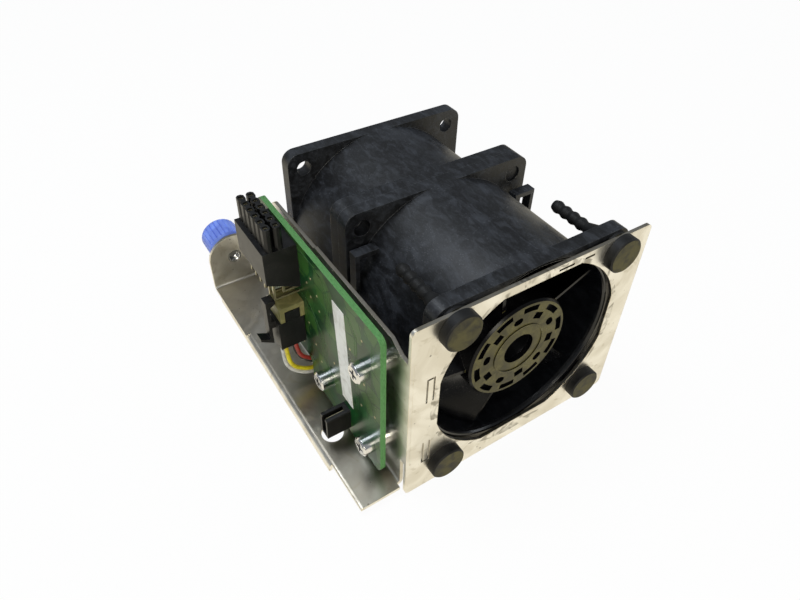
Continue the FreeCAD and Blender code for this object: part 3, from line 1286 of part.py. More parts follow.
def spring_section(turn, y):
    """Return the spring wire's square outline after a number of turns."""
    half = SPRING_WIRE_R
    radii = (SPRING_MEAN_R - half, SPRING_MEAN_R + half)
    corners = [(radii[0], -half), (radii[1], -half), (radii[1], half), (radii[0], half)]
    places = [(polar(r, 360.0 * turn), y + rise) for r, rise in corners]
    points = [Vec(TAB_X + place[0], level, TAB_HOLE_Z + place[1]) for place, level in places]
    return Part.makePolygon(points + [points[0]])


def thumbscrew_spring():
    """Return the coil spring between the ferrule's bead and the thrust washer, in straight facets."""
    clear = SPRING_WIRE_R + THRUST_WASHER_GAP
    start = BEAD_REAR_Y + clear
    end = CAVITY_REAR_Y - THRUST_WASHER_GAP - THRUST_WASHER_T - clear
    steps = int(SPRING_TURNS * SPRING_FACETS)
    shares = [i / steps for i in range(steps + 1)]
    sections = [spring_section(share * SPRING_TURNS, start + share * (end - start)) for share in shares]
    return Part.makeLoft(sections, True, True)


# ---------------------------------------------------------------- nodes
def fan_nodes(prefix, length, placed):
    """Return the inner nodes of one fan, each placed by the given function."""
    makers = {
        "impeller": impeller, "rotor_yoke": yoke, "ring_magnet": magnet, "shaft": shaft,
        "shaft_clip": shaft_clip, "preload_spring": preload_spring, "bearing_sleeve": bearing_sleeve,
        "ball_bearings": ball_bearings, "stator_core": stator_core,
        "stator_insulators": stator_insulators, "windings": windings, "driver_board": driver_board,
    }
    nodes = {}
    for name, maker in makers.items():
        made = maker(length)
        solids = made if isinstance(made, list) else [made]
        nodes[prefix + "_" + name] = [placed(solid) for solid in solids]
    return nodes


def lead_nodes():
    """Return the four leads."""
    return {name: [lead(name, *route)] for name, route in LEAD_ROUTES.items()}


def all_nodes():
    """Return every node's list of solids, laid out about the fan axis."""
    nodes = {
        "bracket": [bracket()], "rubber_isolators": rubber_isolators(),
        "front_fan_frame": [front_fan_frame()], "rear_fan_frame": [rear_fan_frame()],
        "motor_link_pins": link_pins(), "board_standoffs": board_standoffs(),
        "board_screws": board_screws(), "control_board": [control_board()],
        "board_label": [board_label()], "blind_mate_housing": [blind_mate_housing()],
        "blind_mate_contacts": blind_mate_contacts(), "fan_header_shroud": [fan_header_shroud()],
        "fan_header_pins": fan_header_pins(), "fan_plug_housing": [fan_plug_housing()],
        "fan_plug_contacts": fan_plug_contacts(), "aux_header_housing": [aux_header_housing()],
        "aux_header_pins": aux_header_pins(), "thumbscrew_ferrule": [thumbscrew_ferrule()],
        "thumbscrew_knob": [thumbscrew_knob()], "thumbscrew_screw": [thumbscrew_screw()],
        "thumbscrew_washer": [thumbscrew_washer()], "thumbscrew_spring": [thumbscrew_spring()],
    }
    nodes.update(fan_nodes("front", FRONT_FAN_LENGTH, moved_to_front))
    nodes.update(fan_nodes("rear", REAR_FAN_LENGTH, mirrored_to_rear))
    nodes.update(lead_nodes())
    return nodes


def export(name, solids):
    """Move a node's solids to the finished origin and write them to one STEP file."""
    shift = Vec(-ORIGIN_X, -ORIGIN_Y, -REST_Z)
    moved = []
    for solid in solids:
        copy = solid.copy()
        copy.translate(shift)
        moved.append(copy)
    shape = moved[0] if len(moved) == 1 else Part.makeCompound(moved)
    shape.exportStep(os.path.join(PARTS_FOLDER, name + ".step"))


def main():
    """Build and write every node."""
    os.makedirs(PARTS_FOLDER, exist_ok=True)
    for name, solids in all_nodes().items():
        for solid in solids:
            if not solid.isValid() or len(solid.Solids) != 1:
                print("check", name, "valid", solid.isValid(), "solids", len(solid.Solids))
        export(name, solids)


main()
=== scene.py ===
import logging
import math
from dataclasses import dataclass
from enum import Enum
from typing import Iterable, Union

import bmesh
import bpy
from mathutils import Matrix, Vector


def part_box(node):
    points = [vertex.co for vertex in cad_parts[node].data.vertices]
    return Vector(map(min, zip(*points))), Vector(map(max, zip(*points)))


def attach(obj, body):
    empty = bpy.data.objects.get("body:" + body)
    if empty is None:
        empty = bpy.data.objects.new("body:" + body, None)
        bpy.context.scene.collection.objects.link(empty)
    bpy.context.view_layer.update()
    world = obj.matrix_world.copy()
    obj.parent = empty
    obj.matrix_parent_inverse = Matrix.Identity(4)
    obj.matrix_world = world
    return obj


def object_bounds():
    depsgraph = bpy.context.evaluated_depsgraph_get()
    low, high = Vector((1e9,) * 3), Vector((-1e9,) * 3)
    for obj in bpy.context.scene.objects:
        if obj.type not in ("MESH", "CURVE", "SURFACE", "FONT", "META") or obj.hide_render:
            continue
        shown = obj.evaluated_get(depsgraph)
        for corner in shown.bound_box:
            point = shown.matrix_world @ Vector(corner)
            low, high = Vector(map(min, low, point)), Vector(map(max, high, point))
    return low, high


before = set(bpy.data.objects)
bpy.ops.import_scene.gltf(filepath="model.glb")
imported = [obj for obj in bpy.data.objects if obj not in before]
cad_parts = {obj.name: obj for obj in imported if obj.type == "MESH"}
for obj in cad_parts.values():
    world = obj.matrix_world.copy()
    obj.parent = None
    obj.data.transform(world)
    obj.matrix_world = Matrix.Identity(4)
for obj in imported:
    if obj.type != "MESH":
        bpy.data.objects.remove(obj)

LOG = logging.getLogger("fan_module")
CAD_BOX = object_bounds()
MM = 0.001
MERGE_DISTANCE = 0.0000005
FAN_SETBACK = 2.0
STRIP_OVERLAP = 0.4
LEFT_FACING = -0.9
FAN_AXIS = (Vector(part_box("front_impeller")[0]) + Vector(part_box("front_impeller")[1])) / 2

Number = Union[int, float]
Colour = tuple[float, float, float, float]
Point = tuple[float, float]
Triple = tuple[float, float, float]


# ---------------------------------------------------------------- colours and sockets


def tone(red: int, green: int, blue: int) -> Colour:
    """Turns a colour as a screen shows it into the linear colour that a shader takes.

    Args:
        red: Red from 0 to 255.
        green: Green from 0 to 255.
        blue: Blue from 0 to 255.

    Returns:
        The linear colour, with an alpha of 1.
    """
    shares = [channel / 255.0 for channel in (red, green, blue)]
    linear = [share / 12.92 if share <= 0.04045 else ((share + 0.055) / 1.055) ** 2.4 for share in shares]
    return (linear[0], linear[1], linear[2], 1.0)


class Value:
    """A number socket of a finish, on which Python's arithmetic adds the Math nodes."""

    def __init__(self, sheet: "Sheet", socket: bpy.types.NodeSocket) -> None:
        """Keeps the sheet that the socket belongs to, and the socket."""
        self.sheet = sheet
        self.socket = socket

    def _math(self, operation: str, first: Union["Value", Number], second: Union["Value", Number]) -> "Value":
        """Adds one Math node.

        Args:
            operation: The node's operation.
            first: Its first operand.
            second: Its second operand.

        Returns:
            The node's result.
        """
        node = self.sheet.node("ShaderNodeMath", {"operation": operation}, {0: first, 1: second})
        return Value(self.sheet, node.outputs[0])

    def __add__(self, other: Union["Value", Number]) -> "Value":
        """Adds a number or a value."""
        return self._math("ADD", self, other)

    def __radd__(self, other: Number) -> "Value":
        """Adds this value to a number."""
        return self._math("ADD", other, self)

    def __sub__(self, other: Union["Value", Number]) -> "Value":
        """Takes a number or a value away."""
        return self._math("SUBTRACT", self, other)

    def __rsub__(self, other: Number) -> "Value":
        """Takes this value away from a number."""
        return self._math("SUBTRACT", other, self)

    def __mul__(self, other: Union["Value", Number]) -> "Value":
        """Multiplies by a number or a value."""
        return self._math("MULTIPLY", self, other)

    def __rmul__(self, other: Number) -> "Value":
        """Multiplies a number by this value."""
        return self._math("MULTIPLY", other, self)

    def size(self) -> "Value":
        """Gives the value without its sign."""
        return self._math("ABSOLUTE", self, 0.0)

    def most(self, other: Union["Value", Number]) -> "Value":
        """Gives the larger of this value and another."""
        return self._math("MAXIMUM", self, other)

    def least(self, other: Union["Value", Number]) -> "Value":
        """Gives the smaller of this value and another."""
        return self._math("MINIMUM", self, other)

    def folded(self, span: Number) -> "Value":
        """Gives a zigzag that runs up and down between 0 and a span."""
        return self._math("PINGPONG", self, span)

    def ramp(self, low: Number, high: Number) -> "Value":
        """Gives 0 below one level and 1 above another, with a smooth step between.

        Args:
            low: The level where the step starts.
            high: The level where the step ends.

        Returns:
            The smooth step.
        """
        settings = {"interpolation_type": "SMOOTHSTEP"}
        levels = {"Value": self, "From Min": low, "From Max": high}
        return Value(self.sheet, self.sheet.node("ShaderNodeMapRange", settings, levels).outputs[0])


Input = Union[Value, bpy.types.NodeSocket, Number, Colour, Triple]
Shade = Union[Colour, bpy.types.NodeSocket]


class Tree:
    """A node tree, to which every node is added in one way."""

    def __init__(self, tree: bpy.types.NodeTree) -> None:
        """Keeps the tree that takes the nodes."""
        self.tree = tree

    def node(
        self,
        kind: str,
        settings: dict[str, object] | None = None,
        inputs: dict[Union[str, int], Input] | None = None,
    ) -> bpy.types.Node:
        """Adds a node.

        Args:
            kind: The node's type.
            settings: What is set on the node itself, before its sockets.
            inputs: The value or link of each socket that is not left as it comes.

        Returns:
            The new node.
        """
        node = self.tree.nodes.new(kind)
        for name, setting in (settings or {}).items():
            setattr(node, name, setting)
        for name, given in (inputs or {}).items():
            self.join(node.inputs[name], given)
        return node

    def join(self, socket: bpy.types.NodeSocket, given: Input) -> None:
        """Links or sets a socket.

        Args:
            socket: The socket that takes what is given.
            given: A value, another node's socket, or a constant.
        """
        if isinstance(given, Value):
            self.tree.links.new(given.socket, socket)
        elif isinstance(given, bpy.types.NodeSocket):
            self.tree.links.new(given, socket)
        else:
            socket.default_value = given


class Sheet(Tree):
    """The node tree of one finish, with short ways to the patterns that the finishes share."""

    def __init__(self, name: str) -> None:
        """Starts a material with one surface shader.

        Args:
            name: The material's name.
        """
        self.material = bpy.data.materials.new(name)
        self.material.use_nodes = True
        super().__init__(self.material.node_tree)
        self.shader = self.tree.nodes["Principled BSDF"]
        self.place = self.node("ShaderNodeTexCoord").outputs["Object"]

    def set(self, **inputs: Input) -> None:
        """Gives the surface shader its inputs, whose names have _ in place of a space."""
        for name, given in inputs.items():
            self.join(self.shader.inputs[name.replace("_", " ")], given)

    def stretched(self, along: Triple) -> bpy.types.NodeSocket:
        """Gives the place on the piece with each axis scaled.

        Args:
            along: The scale of each axis.

        Returns:
            The scaled coordinates.
        """
        return self.node("ShaderNodeMapping", {}, {"Vector": self.place, "Scale": along}).outputs[0]

    def noise(
        self, grain: float, detail: float = 4.0, place: bpy.types.NodeSocket | None = None, twist: float = 0.0
    ) -> Value:
        """Adds a cloud pattern.

        Args:
            grain: The size of its patches, in millimetres.
            detail: How many finer layers it has.
            place: The coordinates that it follows, or none for the piece's own.
            twist: How far it is pulled about.

        Returns:
            The pattern, about 0.5 on average.
        """
        inputs = {"Vector": place or self.place, "Scale": 1.0 / (grain * MM)}
        inputs.update({"Detail": detail, "Distortion": twist})
        return Value(self, self.node("ShaderNodeTexNoise", {}, inputs).outputs[0])

    def cells(self, grain: float, feature: str = "F1") -> Value:
        """Adds a pattern of cells.

        Args:
            grain: The size of a cell, in millimetres.
            feature: Which distance the pattern gives.

        Returns:
            The distance in each cell.
        """
        inputs = {"Vector": self.place, "Scale": 1.0 / (grain * MM)}
        pattern = self.node("ShaderNodeTexVoronoi", {"feature": feature}, inputs)
        return Value(self, pattern.outputs["Distance"])

    def blend(self, low: Shade, high: Shade, share: Value) -> bpy.types.NodeSocket:
        """Mixes two colours.

        Args:
            low: The colour where the share is 0.
            high: The colour where the share is 1.
            share: The share of the second colour.

        Returns:
            The mixed colour.
        """
        node = self.node("ShaderNodeMix", {"data_type": "RGBA"}, {0: share, 6: low, 7: high})
        return node.outputs[2]

    def edges(self, radius: float) -> tuple[bpy.types.NodeSocket, Value]:
        """Rounds the edges that light shows, and finds them.

        Args:
            radius: The radius of the rounded edge, in millimetres.

        Returns:
            The rounded normal, and a mask that is 1 on the edges.
        """
        soft = self.node("ShaderNodeBevel", {"samples": 4}, {"Radius": radius * MM}).outputs[0]
        hard = self.node("ShaderNodeNewGeometry").outputs["Normal"]
        turn = self.node("ShaderNodeVectorMath", {"operation": "DOT_PRODUCT"}, {0: soft, 1: hard})
        return soft, 1.0 - Value(self, turn.outputs["Value"]).ramp(0.75, 0.99)

    def facing(self, axis: int) -> Value:
        """Says how squarely the surface faces along an axis.

        Args:
            axis: 0, 1 or 2 for X, Y or Z.

        Returns:
            The part of the normal along the axis, without its sign.
        """
        normal = self.node("ShaderNodeNewGeometry").outputs["Normal"]
        parts = self.node("ShaderNodeSeparateXYZ", {}, {0: normal})
        return Value(self, parts.outputs[axis]).size()

    def coordinate(self, axis: int) -> Value:
        """Gives one coordinate of the place on the piece, in metres."""
        return Value(self, self.node("ShaderNodeSeparateXYZ", {}, {0: self.place}).outputs[axis])

    def within(self, radius: float, centre: Vector) -> Value:
        """Finds what lies inside a round duct along Y.

        Args:
            radius: The duct's radius, in millimetres.
            centre: Any point on the duct's axis.

        Returns:
            A mask that is 1 inside the duct.
        """
        moved = self.node("ShaderNodeMapping", {}, {"Vector": self.place, "Location": -centre})
        across = {0: moved.outputs[0], 1: (1.0, 0.0, 1.0)}
        flat = self.node("ShaderNodeVectorMath", {"operation": "MULTIPLY"}, across)
        away = self.node("ShaderNodeVectorMath", {"operation": "LENGTH"}, {0: flat.outputs[0]})
        return 1.0 - Value(self, away.outputs["Value"]).ramp(radius * MM, (radius + 0.1) * MM)

    def relief(
        self, height: Value, depth: float, normal: bpy.types.NodeSocket | None = None
    ) -> bpy.types.NodeSocket:
        """Raises and lowers the surface in the light.

        Args:
            height: The relief, from 0 to 1.
            depth: Its depth, in millimetres.
            normal: The normal that it is laid on, if not the plain one.

        Returns:
            The normal of the relief.
        """
        inputs: dict[Union[str, int], Input] = {"Height": height, "Distance": depth * MM}
        if normal is not None:
            inputs["Normal"] = normal
        return self.node("ShaderNodeBump", {}, inputs).outputs[0]


# ---------------------------------------------------------------- finishes


@dataclass(frozen=True)
class Finish:
    """What every finish has: the record's slot, two tones, its roughness and the round of its edges."""

    slot: str
    low: Colour
    high: Colour
    rough: float = 0.4
    edge: float = 0.12

    def paint(self, sheet: Sheet) -> None:
        """Draws the finish; each kind has its own."""
        raise NotImplementedError

    def make(self) -> bpy.types.Material:
        """Makes the material.

        Returns:
            The material, named after the record's slot.
        """
        sheet = Sheet(self.slot + "_finish")
        self.paint(sheet)
        return sheet.material


@dataclass(frozen=True)
class PlatedSheet(Finish):
    """Bright plated steel sheet with rolling grain, finger smudges and a few dark handling marks, painted
    shade on its flat faces and a painted highlight on its edges.
    """

    grain: float = 0.25
    smudge: float = 14.0
    painted_flat_shade: Colour = tone(128, 118, 98)
    rim: float = 30.6

    def paint(self, sheet: Sheet) -> None:
        """Draws the plating, its grain and its smudges, with painted shade where it lies flat and a painted
        highlight on its edges.
        """
        soft, edge = sheet.edges(self.edge)
        rolled = sheet.noise(self.grain, 3.0, sheet.stretched((1.0, 0.05, 1.0)))
        cloud = sheet.noise(self.smudge, 5.0, None, 1.2)
        finger = sheet.noise(self.smudge * 0.3, 4.0, None, 0.9)
        specks = sheet.cells(2.2).ramp(0.17, 0.05) * sheet.noise(8.0, 2.0).ramp(0.52, 0.62)
        spangle = sheet.cells(1.1)
        plain = sheet.blend(self.low, self.high, cloud.ramp(0.35, 0.65))
        wiped = sheet.blend(plain, tone(176, 168, 146), finger.ramp(0.56, 0.72) * 0.4)
        # Painted shade: faces that lie flat get a darker tone in place of the darker reflection they show.
        level = sheet.facing(2).ramp(0.7, 0.95)
        painted_flat_shade = sheet.blend(wiped, self.painted_flat_shade, level * (0.45 + cloud.ramp(0.3, 0.6) * 0.35))
        marked = sheet.blend(painted_flat_shade, tone(70, 62, 46), specks * 0.75)
        rim = sheet.within(self.rim, FAN_AXIS) * finger.ramp(0.46, 0.62)
        # The rim round the fan opening gets darker smudges; the edges get a painted cream highlight.
        edge_highlighted = sheet.blend(sheet.blend(marked, tone(74, 66, 48), rim * 0.55), tone(226, 208, 158), edge * 0.6)
        rough = self.rough + cloud.ramp(0.45, 0.75) * 0.12 + finger * 0.10 + rolled * 0.06 + specks * 0.2
        height = rolled * 0.5 + spangle * 0.5
        sheet.set(Base_Color=edge_highlighted, Metallic=1.0 - specks * 0.5, Roughness=rough)
        sheet.set(Normal=sheet.relief(height, 0.0025, soft))


@dataclass(frozen=True)
class FilledPlastic(Finish):
    """Glass-filled moulding: matt and mottled outside, smooth and glossy where the duct's core formed it."""

    flow: Triple = (1.0, 0.4, 1.0)
    streak: float = 2.2
    duct: float = 29.9

    def paint(self, sheet: Sheet) -> None:
        """Draws the mottle, the fibre specks, the grain, the glossy duct and lighter edges that are partly
        wear and partly a painted highlight.
        """
        soft, edge = sheet.edges(self.edge)
        inside = sheet.within(self.duct, FAN_AXIS)
        flowing = sheet.noise(self.streak, 8.0, sheet.stretched(self.flow), 1.1)
        cloud = sheet.noise(9.0, 4.0, None, 0.8)
        fibre = sheet.noise(0.3, 3.0, sheet.stretched((1.0, 0.35, 1.0)))
        pits = sheet.cells(0.9).ramp(0.3, 0.1) * cloud.ramp(0.4, 0.6) * (1.0 - inside)
        pale = flowing.ramp(0.42, 0.72) * 0.6 + cloud.ramp(0.45, 0.68) * 0.4 + fibre.ramp(0.52, 0.7) * 0.35
        body = sheet.blend(self.low, self.high, (pale * (1.0 - inside * 0.8)).least(1.0))
        # Lighter bluish edges: partly edge wear, partly a painted highlight.
        wear_and_highlight = edge * (1.0 - inside * 0.8)
        worn_and_highlit = sheet.blend(body, tone(98, 101, 106), wear_and_highlight * 0.35 + pits * 0.2)
        rough = (self.rough + flowing * 0.22 - edge * 0.1) * (1.0 - inside * 0.62)
        height = (fibre * 0.4 + flowing * 0.45 + pits * 0.3) * (1.0 - inside * 0.75)
        sheet.set(Base_Color=worn_and_highlit, Roughness=rough, Specular_IOR_Level=0.45)
        sheet.set(Normal=sheet.relief(height, 0.05, soft))


@dataclass(frozen=True)
class SmoothPlastic(Finish):
    """Unfilled moulding with an even skin, faint clouds and scuffs on its edges."""

    dust: float = 0.2
    coat: float = 0.0
    scuff: float = 0.12
    shine: float = 0.5

    def skin(self, sheet: Sheet, cloud: Value) -> bpy.types.NodeSocket:
        """Draws the skin's two tones.

        Args:
            sheet: The finish's node tree.
            cloud: The cloud pattern that the tones follow.

        Returns:
            The skin's colour.
        """
        return sheet.blend(self.low, self.high, cloud.ramp(0.35, 0.7))

    def paint(self, sheet: Sheet) -> None:
        """Draws the skin, its dust and its scuffed edges."""
        soft, edge = sheet.edges(self.edge)
        cloud = sheet.noise(5.0, 5.0, None, 0.8)
        dust = sheet.noise(0.5, 3.0).ramp(0.55, 0.8) * cloud.ramp(0.4, 0.65)
        body = self.skin(sheet, cloud)
        dusty = sheet.blend(body, tone(150, 146, 136), dust * self.dust + edge * self.scuff)
        rough = self.rough + cloud * 0.12 + dust * 0.2
        ripple = sheet.noise(2.4, 2.0)
        sheet.set(Base_Color=dusty, Roughness=rough, Specular_IOR_Level=self.shine)
        sheet.set(Coat_Weight=self.coat, Coat_Roughness=0.12)
        sheet.set(Normal=sheet.relief(ripple * 0.7 + sheet.noise(0.2, 2.0) * 0.3, 0.01, soft))


@dataclass(frozen=True)
class HubPlastic(SmoothPlastic):
    """The impeller's glossy moulding, with a painted warm olive reflection on the flat face of the hub."""

    painted_reflection: Colour = tone(94, 88, 44)
    hub: float = 16.2

    def skin(self, sheet: Sheet, cloud: Value) -> bpy.types.NodeSocket:
        """Draws the plain skin with a painted warm reflection on the hub's face."""
        # Painted reflection: the hub's flat face gets a warm olive tone standing in for the warm light it
        # reflects.
        face = sheet.facing(1).ramp(0.9, 0.99) * sheet.within(self.hub, FAN_AXIS)
        reflection_painted = face * (0.35 + cloud.ramp(0.3, 0.65) * 0.5)
        return sheet.blend(super().skin(sheet, cloud), self.painted_reflection, reflection_painted)


@dataclass(frozen=True)
class KnobPlastic(SmoothPlastic):
    """The knob's moulding, with a faint parting ring behind its front rim."""

    ring: float = 2.6
    ring_width: float = 0.22

    def skin(self, sheet: Sheet, cloud: Value) -> bpy.types.NodeSocket:
        """Draws the plain skin with the darker parting ring."""
        away = (sheet.coordinate(1) - (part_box("thumbscrew_knob")[0][1] + self.ring * MM)).size()
        line = 1.0 - away.ramp(self.ring_width * 0.4 * MM, self.ring_width * MM)
        return sheet.blend(super().skin(sheet, cloud), self.low, line * 0.6)


@dataclass(frozen=True)
class MouldedRubber(Finish):
    """Matt black rubber with a painted warm olive reflection on the flat heads and a faint mould grain."""

    painted_reflection: Colour = tone(98, 92, 46)

    def paint(self, sheet: Sheet) -> None:
        """Draws the painted reflection and the grain."""
        soft, edge = sheet.edges(self.edge)
        cloud = sheet.noise(3.2, 5.0, None, 0.7)
        grain = sheet.noise(0.22, 3.0)
        flat = sheet.facing(1).ramp(0.8, 0.98)
        body = sheet.blend(self.low, self.high, cloud.ramp(0.32, 0.72))
        # Painted reflection: flat heads facing along Y get a warm olive tone standing in for the warm light
        # they reflect.
        reflection_painted = sheet.blend(body, self.painted_reflection, flat * cloud.ramp(0.2, 0.7) * 0.6)
        rubbed = sheet.blend(reflection_painted, tone(92, 92, 84), edge * 0.18 + grain.ramp(0.6, 0.8) * 0.05)
        sheet.set(Base_Color=rubbed, Roughness=self.rough + cloud * 0.2, Specular_IOR_Level=0.3)
        sheet.set(Normal=sheet.relief(grain * 0.6 + cloud * 0.4, 0.03, soft))


@dataclass(frozen=True)
class TurnedMetal(Finish):
    """Machined or drawn metal with tool marks, tarnish and bright edges."""

    marks: Triple = (1.0, 6.0, 1.0)
    tarnish: float = 0.3

    def paint(self, sheet: Sheet) -> None:
        """Draws the tool marks and the tarnish."""
        soft, edge = sheet.edges(self.edge)
        lines = sheet.noise(0.9, 2.0, sheet.stretched(self.marks))
        cloud = sheet.noise(2.5, 4.0, None, 0.5)
        body = sheet.blend(self.high, self.low, cloud.ramp(0.4, 0.75) * self.tarnish + lines * 0.15)
        bright = sheet.blend(body, self.high, edge)
        rough = self.rough + cloud * 0.14 + lines * 0.08
        sheet.set(Base_Color=bright, Metallic=1.0, Roughness=rough)
        sheet.set(Normal=sheet.relief(lines, 0.006, soft))


@dataclass(frozen=True)
class SolderMask(Finish):
    """Satin mask over copper: yellower where copper lies under it, with an uncoated laminate edge."""

    copper: Colour = tone(74, 116, 42)
    laminate: Colour = tone(96, 148, 90)
    pour: float = 6.0

    def paint(self, sheet: Sheet) -> None:
        """Draws the copper areas, the weave and the cut edge."""
        soft, edge = sheet.edges(self.edge)
        inputs = {"Vector": sheet.place, "Scale": 1.0 / (self.pour * MM)}
        squared = sheet.node("ShaderNodeTexVoronoi", {"distance": "CHEBYCHEV"}, inputs)
        parts = sheet.node("ShaderNodeSeparateColor", {}, {0: squared.outputs["Color"]})
        hue = Value(sheet, parts.outputs[0])
        poured = hue.ramp(0.5, 0.54) * sheet.cells(self.pour, "DISTANCE_TO_EDGE").ramp(0.02, 0.05)
        weave = sheet.noise(0.5, 2.0, sheet.stretched((1.0, 0.5, 1.0)))
        cloud = sheet.noise(9.0, 4.0, None, 0.7)
        plain = sheet.blend(self.low, self.high, cloud.ramp(0.4, 0.7) * 0.7 + weave * 0.15)
        masked = sheet.blend(plain, self.copper, poured * 0.42)
        side = 1.0 - sheet.facing(0).ramp(0.4, 0.6)
        layers = sheet.noise(0.3, 2.0, sheet.stretched((6.0, 0.4, 0.4)))
        cut = sheet.blend(self.laminate, tone(58, 104, 54), layers.ramp(0.4, 0.75))
        faced = sheet.blend(masked, cut, side)
        sheet.set(Base_Color=sheet.blend(faced, tone(168, 190, 146), edge * 0.3))
        sheet.set(Roughness=self.rough + side * 0.35 + cloud * 0.1)
        sheet.set(Coat_Weight=0.03 - side * 0.03, Coat_Roughness=0.08, Specular_IOR_Level=0.2)
        sheet.set(Normal=sheet.relief(poured * 0.7 + weave * 0.15, 0.03, soft))


@dataclass(frozen=True)
class LabelFilm(Finish):
    """A bare white film, slightly soiled, with a faint tooth."""

    def paint(self, sheet: Sheet) -> None:
        """Draws the soiling and the tooth."""
        soft, _ = sheet.edges(self.edge)
        soil = sheet.noise(3.0, 5.0, None, 0.8)
        tooth = sheet.noise(0.12, 2.0)
        sheet.set(Base_Color=sheet.blend(self.high, self.low, soil.ramp(0.4, 0.8) * 0.8 + tooth * 0.1))
        sheet.set(Roughness=self.rough + soil * 0.15)
        sheet.set(Normal=sheet.relief(tooth * 0.4 + soil * 0.6, 0.02, soft))


@dataclass(frozen=True)
class WireJacket(Finish):
    """Extruded wire insulation: satin, with fine draw lines along it."""

    def paint(self, sheet: Sheet) -> None:
        """Draws the draw lines and the handling dirt."""
        dirt = sheet.noise(1.6, 4.0, None, 0.5)
        skin = sheet.noise(0.25, 2.0)
        sheet.set(Base_Color=sheet.blend(self.high, self.low, dirt.ramp(0.35, 0.75)))
        sheet.set(Roughness=self.rough + dirt * 0.15, Specular_IOR_Level=0.55)
        sheet.set(Normal=sheet.relief(skin, 0.01))


@dataclass(frozen=True)
class CoilEnamel(Finish):
    """Enamelled copper wire, wound in close turns along the fan axis."""

    pitch: float = 0.3

    def paint(self, sheet: Sheet) -> None:
        """Draws the turns of the wire, with painted shade in the grooves between turns and a painted
        highlight on their crowns.
        """
        half = self.pitch * MM / 2
        round_turn = sheet.coordinate(1).folded(half) * (1.0 / half)
        sheen = sheet.noise(1.2, 3.0)
        # The colour follows each turn's round profile as painted shade and highlight, with a painted sheen on
        # top.
        sheet.set(Base_Color=sheet.blend(self.low, self.high, round_turn * 0.6 + sheen * 0.4), Metallic=0.7)
        sheet.set(Roughness=self.rough + sheen * 0.2)
        sheet.set(Normal=sheet.relief(round_turn, 0.08))


class Slot(Enum):
    """The record's material slots."""

    BRACKET = "bracket_steel"
    RUBBER = "isolator_rubber"
    FRAME = "frame_plastic"
    IMPELLER = "impeller_plastic"
    YOKE = "yoke_steel"
    MAGNET = "magnet_ferrite"
    SHAFT = "shaft_steel"
    SPRING = "spring_steel"
    SLEEVE = "sleeve_brass"
    CORE = "core_steel"
    INSULATOR = "insulator_plastic"
    WINDING = "winding_copper"
    BOARD = "board_green"
    LABEL = "label_film"
    CONNECTOR = "connector_black"
    CONTACT = "contact_tin"
    NYLON = "header_nylon"
    FASTENER = "fastener_nickel"
    KNOB = "knob_blue"
    RED = "lead_red"
    BLACK = "lead_black"
    YELLOW = "lead_yellow"
    WHITE = "lead_white"


FINISHES: tuple[Finish, ...] = (
    PlatedSheet(Slot.BRACKET.value, tone(222, 218, 208), tone(246, 244, 238), 0.24, 0.2),
    MouldedRubber(Slot.RUBBER.value, tone(11, 11, 12), tone(26, 26, 26), 0.48, 0.3),
    FilledPlastic(Slot.FRAME.value, tone(9, 10, 13), tone(49, 52, 58), 0.34, 0.25),
    HubPlastic(Slot.IMPELLER.value, tone(7, 7, 9), tone(16, 16, 18), 0.16, 0.15, 0.05, 0.0, 0.02, 0.16),
    TurnedMetal(Slot.YOKE.value, tone(24, 24, 26), tone(62, 62, 66), 0.3),
    SmoothPlastic(Slot.MAGNET.value, tone(58, 54, 52), tone(82, 76, 72), 0.5, 0.1, 0.3),
    TurnedMetal(Slot.SHAFT.value, tone(176, 178, 184), tone(220, 222, 228), 0.08),
    TurnedMetal(Slot.SPRING.value, tone(128, 130, 136), tone(188, 190, 196), 0.22),
    TurnedMetal(Slot.SLEEVE.value, tone(164, 128, 66), tone(222, 188, 112), 0.2),
    TurnedMetal(Slot.CORE.value, tone(94, 96, 100), tone(146, 148, 152), 0.4, 0.1, (1.0, 12.0, 1.0)),
    SmoothPlastic(Slot.INSULATOR.value, tone(206, 200, 178), tone(228, 223, 204), 0.42, 0.15),
    CoilEnamel(Slot.WINDING.value, tone(112, 50, 24), tone(206, 122, 66), 0.25),
    SolderMask(Slot.BOARD.value, tone(4, 52, 20), tone(20, 88, 38), 0.24, 0.15),
    LabelFilm(Slot.LABEL.value, tone(196, 194, 182), tone(238, 238, 232), 0.4, 0.05),
    SmoothPlastic(Slot.CONNECTOR.value, tone(9, 9, 10), tone(21, 21, 22), 0.34, 0.12, 0.08, 0.0, 0.1, 0.35),
    TurnedMetal(Slot.CONTACT.value, tone(120, 112, 86), tone(192, 184, 152), 0.22, 0.05),
    SmoothPlastic(Slot.NYLON.value, tone(112, 108, 66), tone(150, 144, 96), 0.38, 0.12, 0.1),
    TurnedMetal(
        Slot.FASTENER.value, tone(172, 172, 174), tone(232, 232, 232), 0.1, 0.12, (6.0, 1.0, 1.0), 0.2
    ),
    KnobPlastic(Slot.KNOB.value, tone(108, 132, 222), tone(128, 158, 248), 0.36, 0.25, 0.1),
    WireJacket(Slot.RED.value, tone(112, 32, 26), tone(160, 54, 46), 0.32),
    WireJacket(Slot.BLACK.value, tone(14, 14, 15), tone(30, 30, 32), 0.32),
    WireJacket(Slot.YELLOW.value, tone(190, 172, 22), tone(226, 212, 44), 0.32),
    WireJacket(Slot.WHITE.value, tone(166, 166, 162), tone(206, 206, 202), 0.32),
)


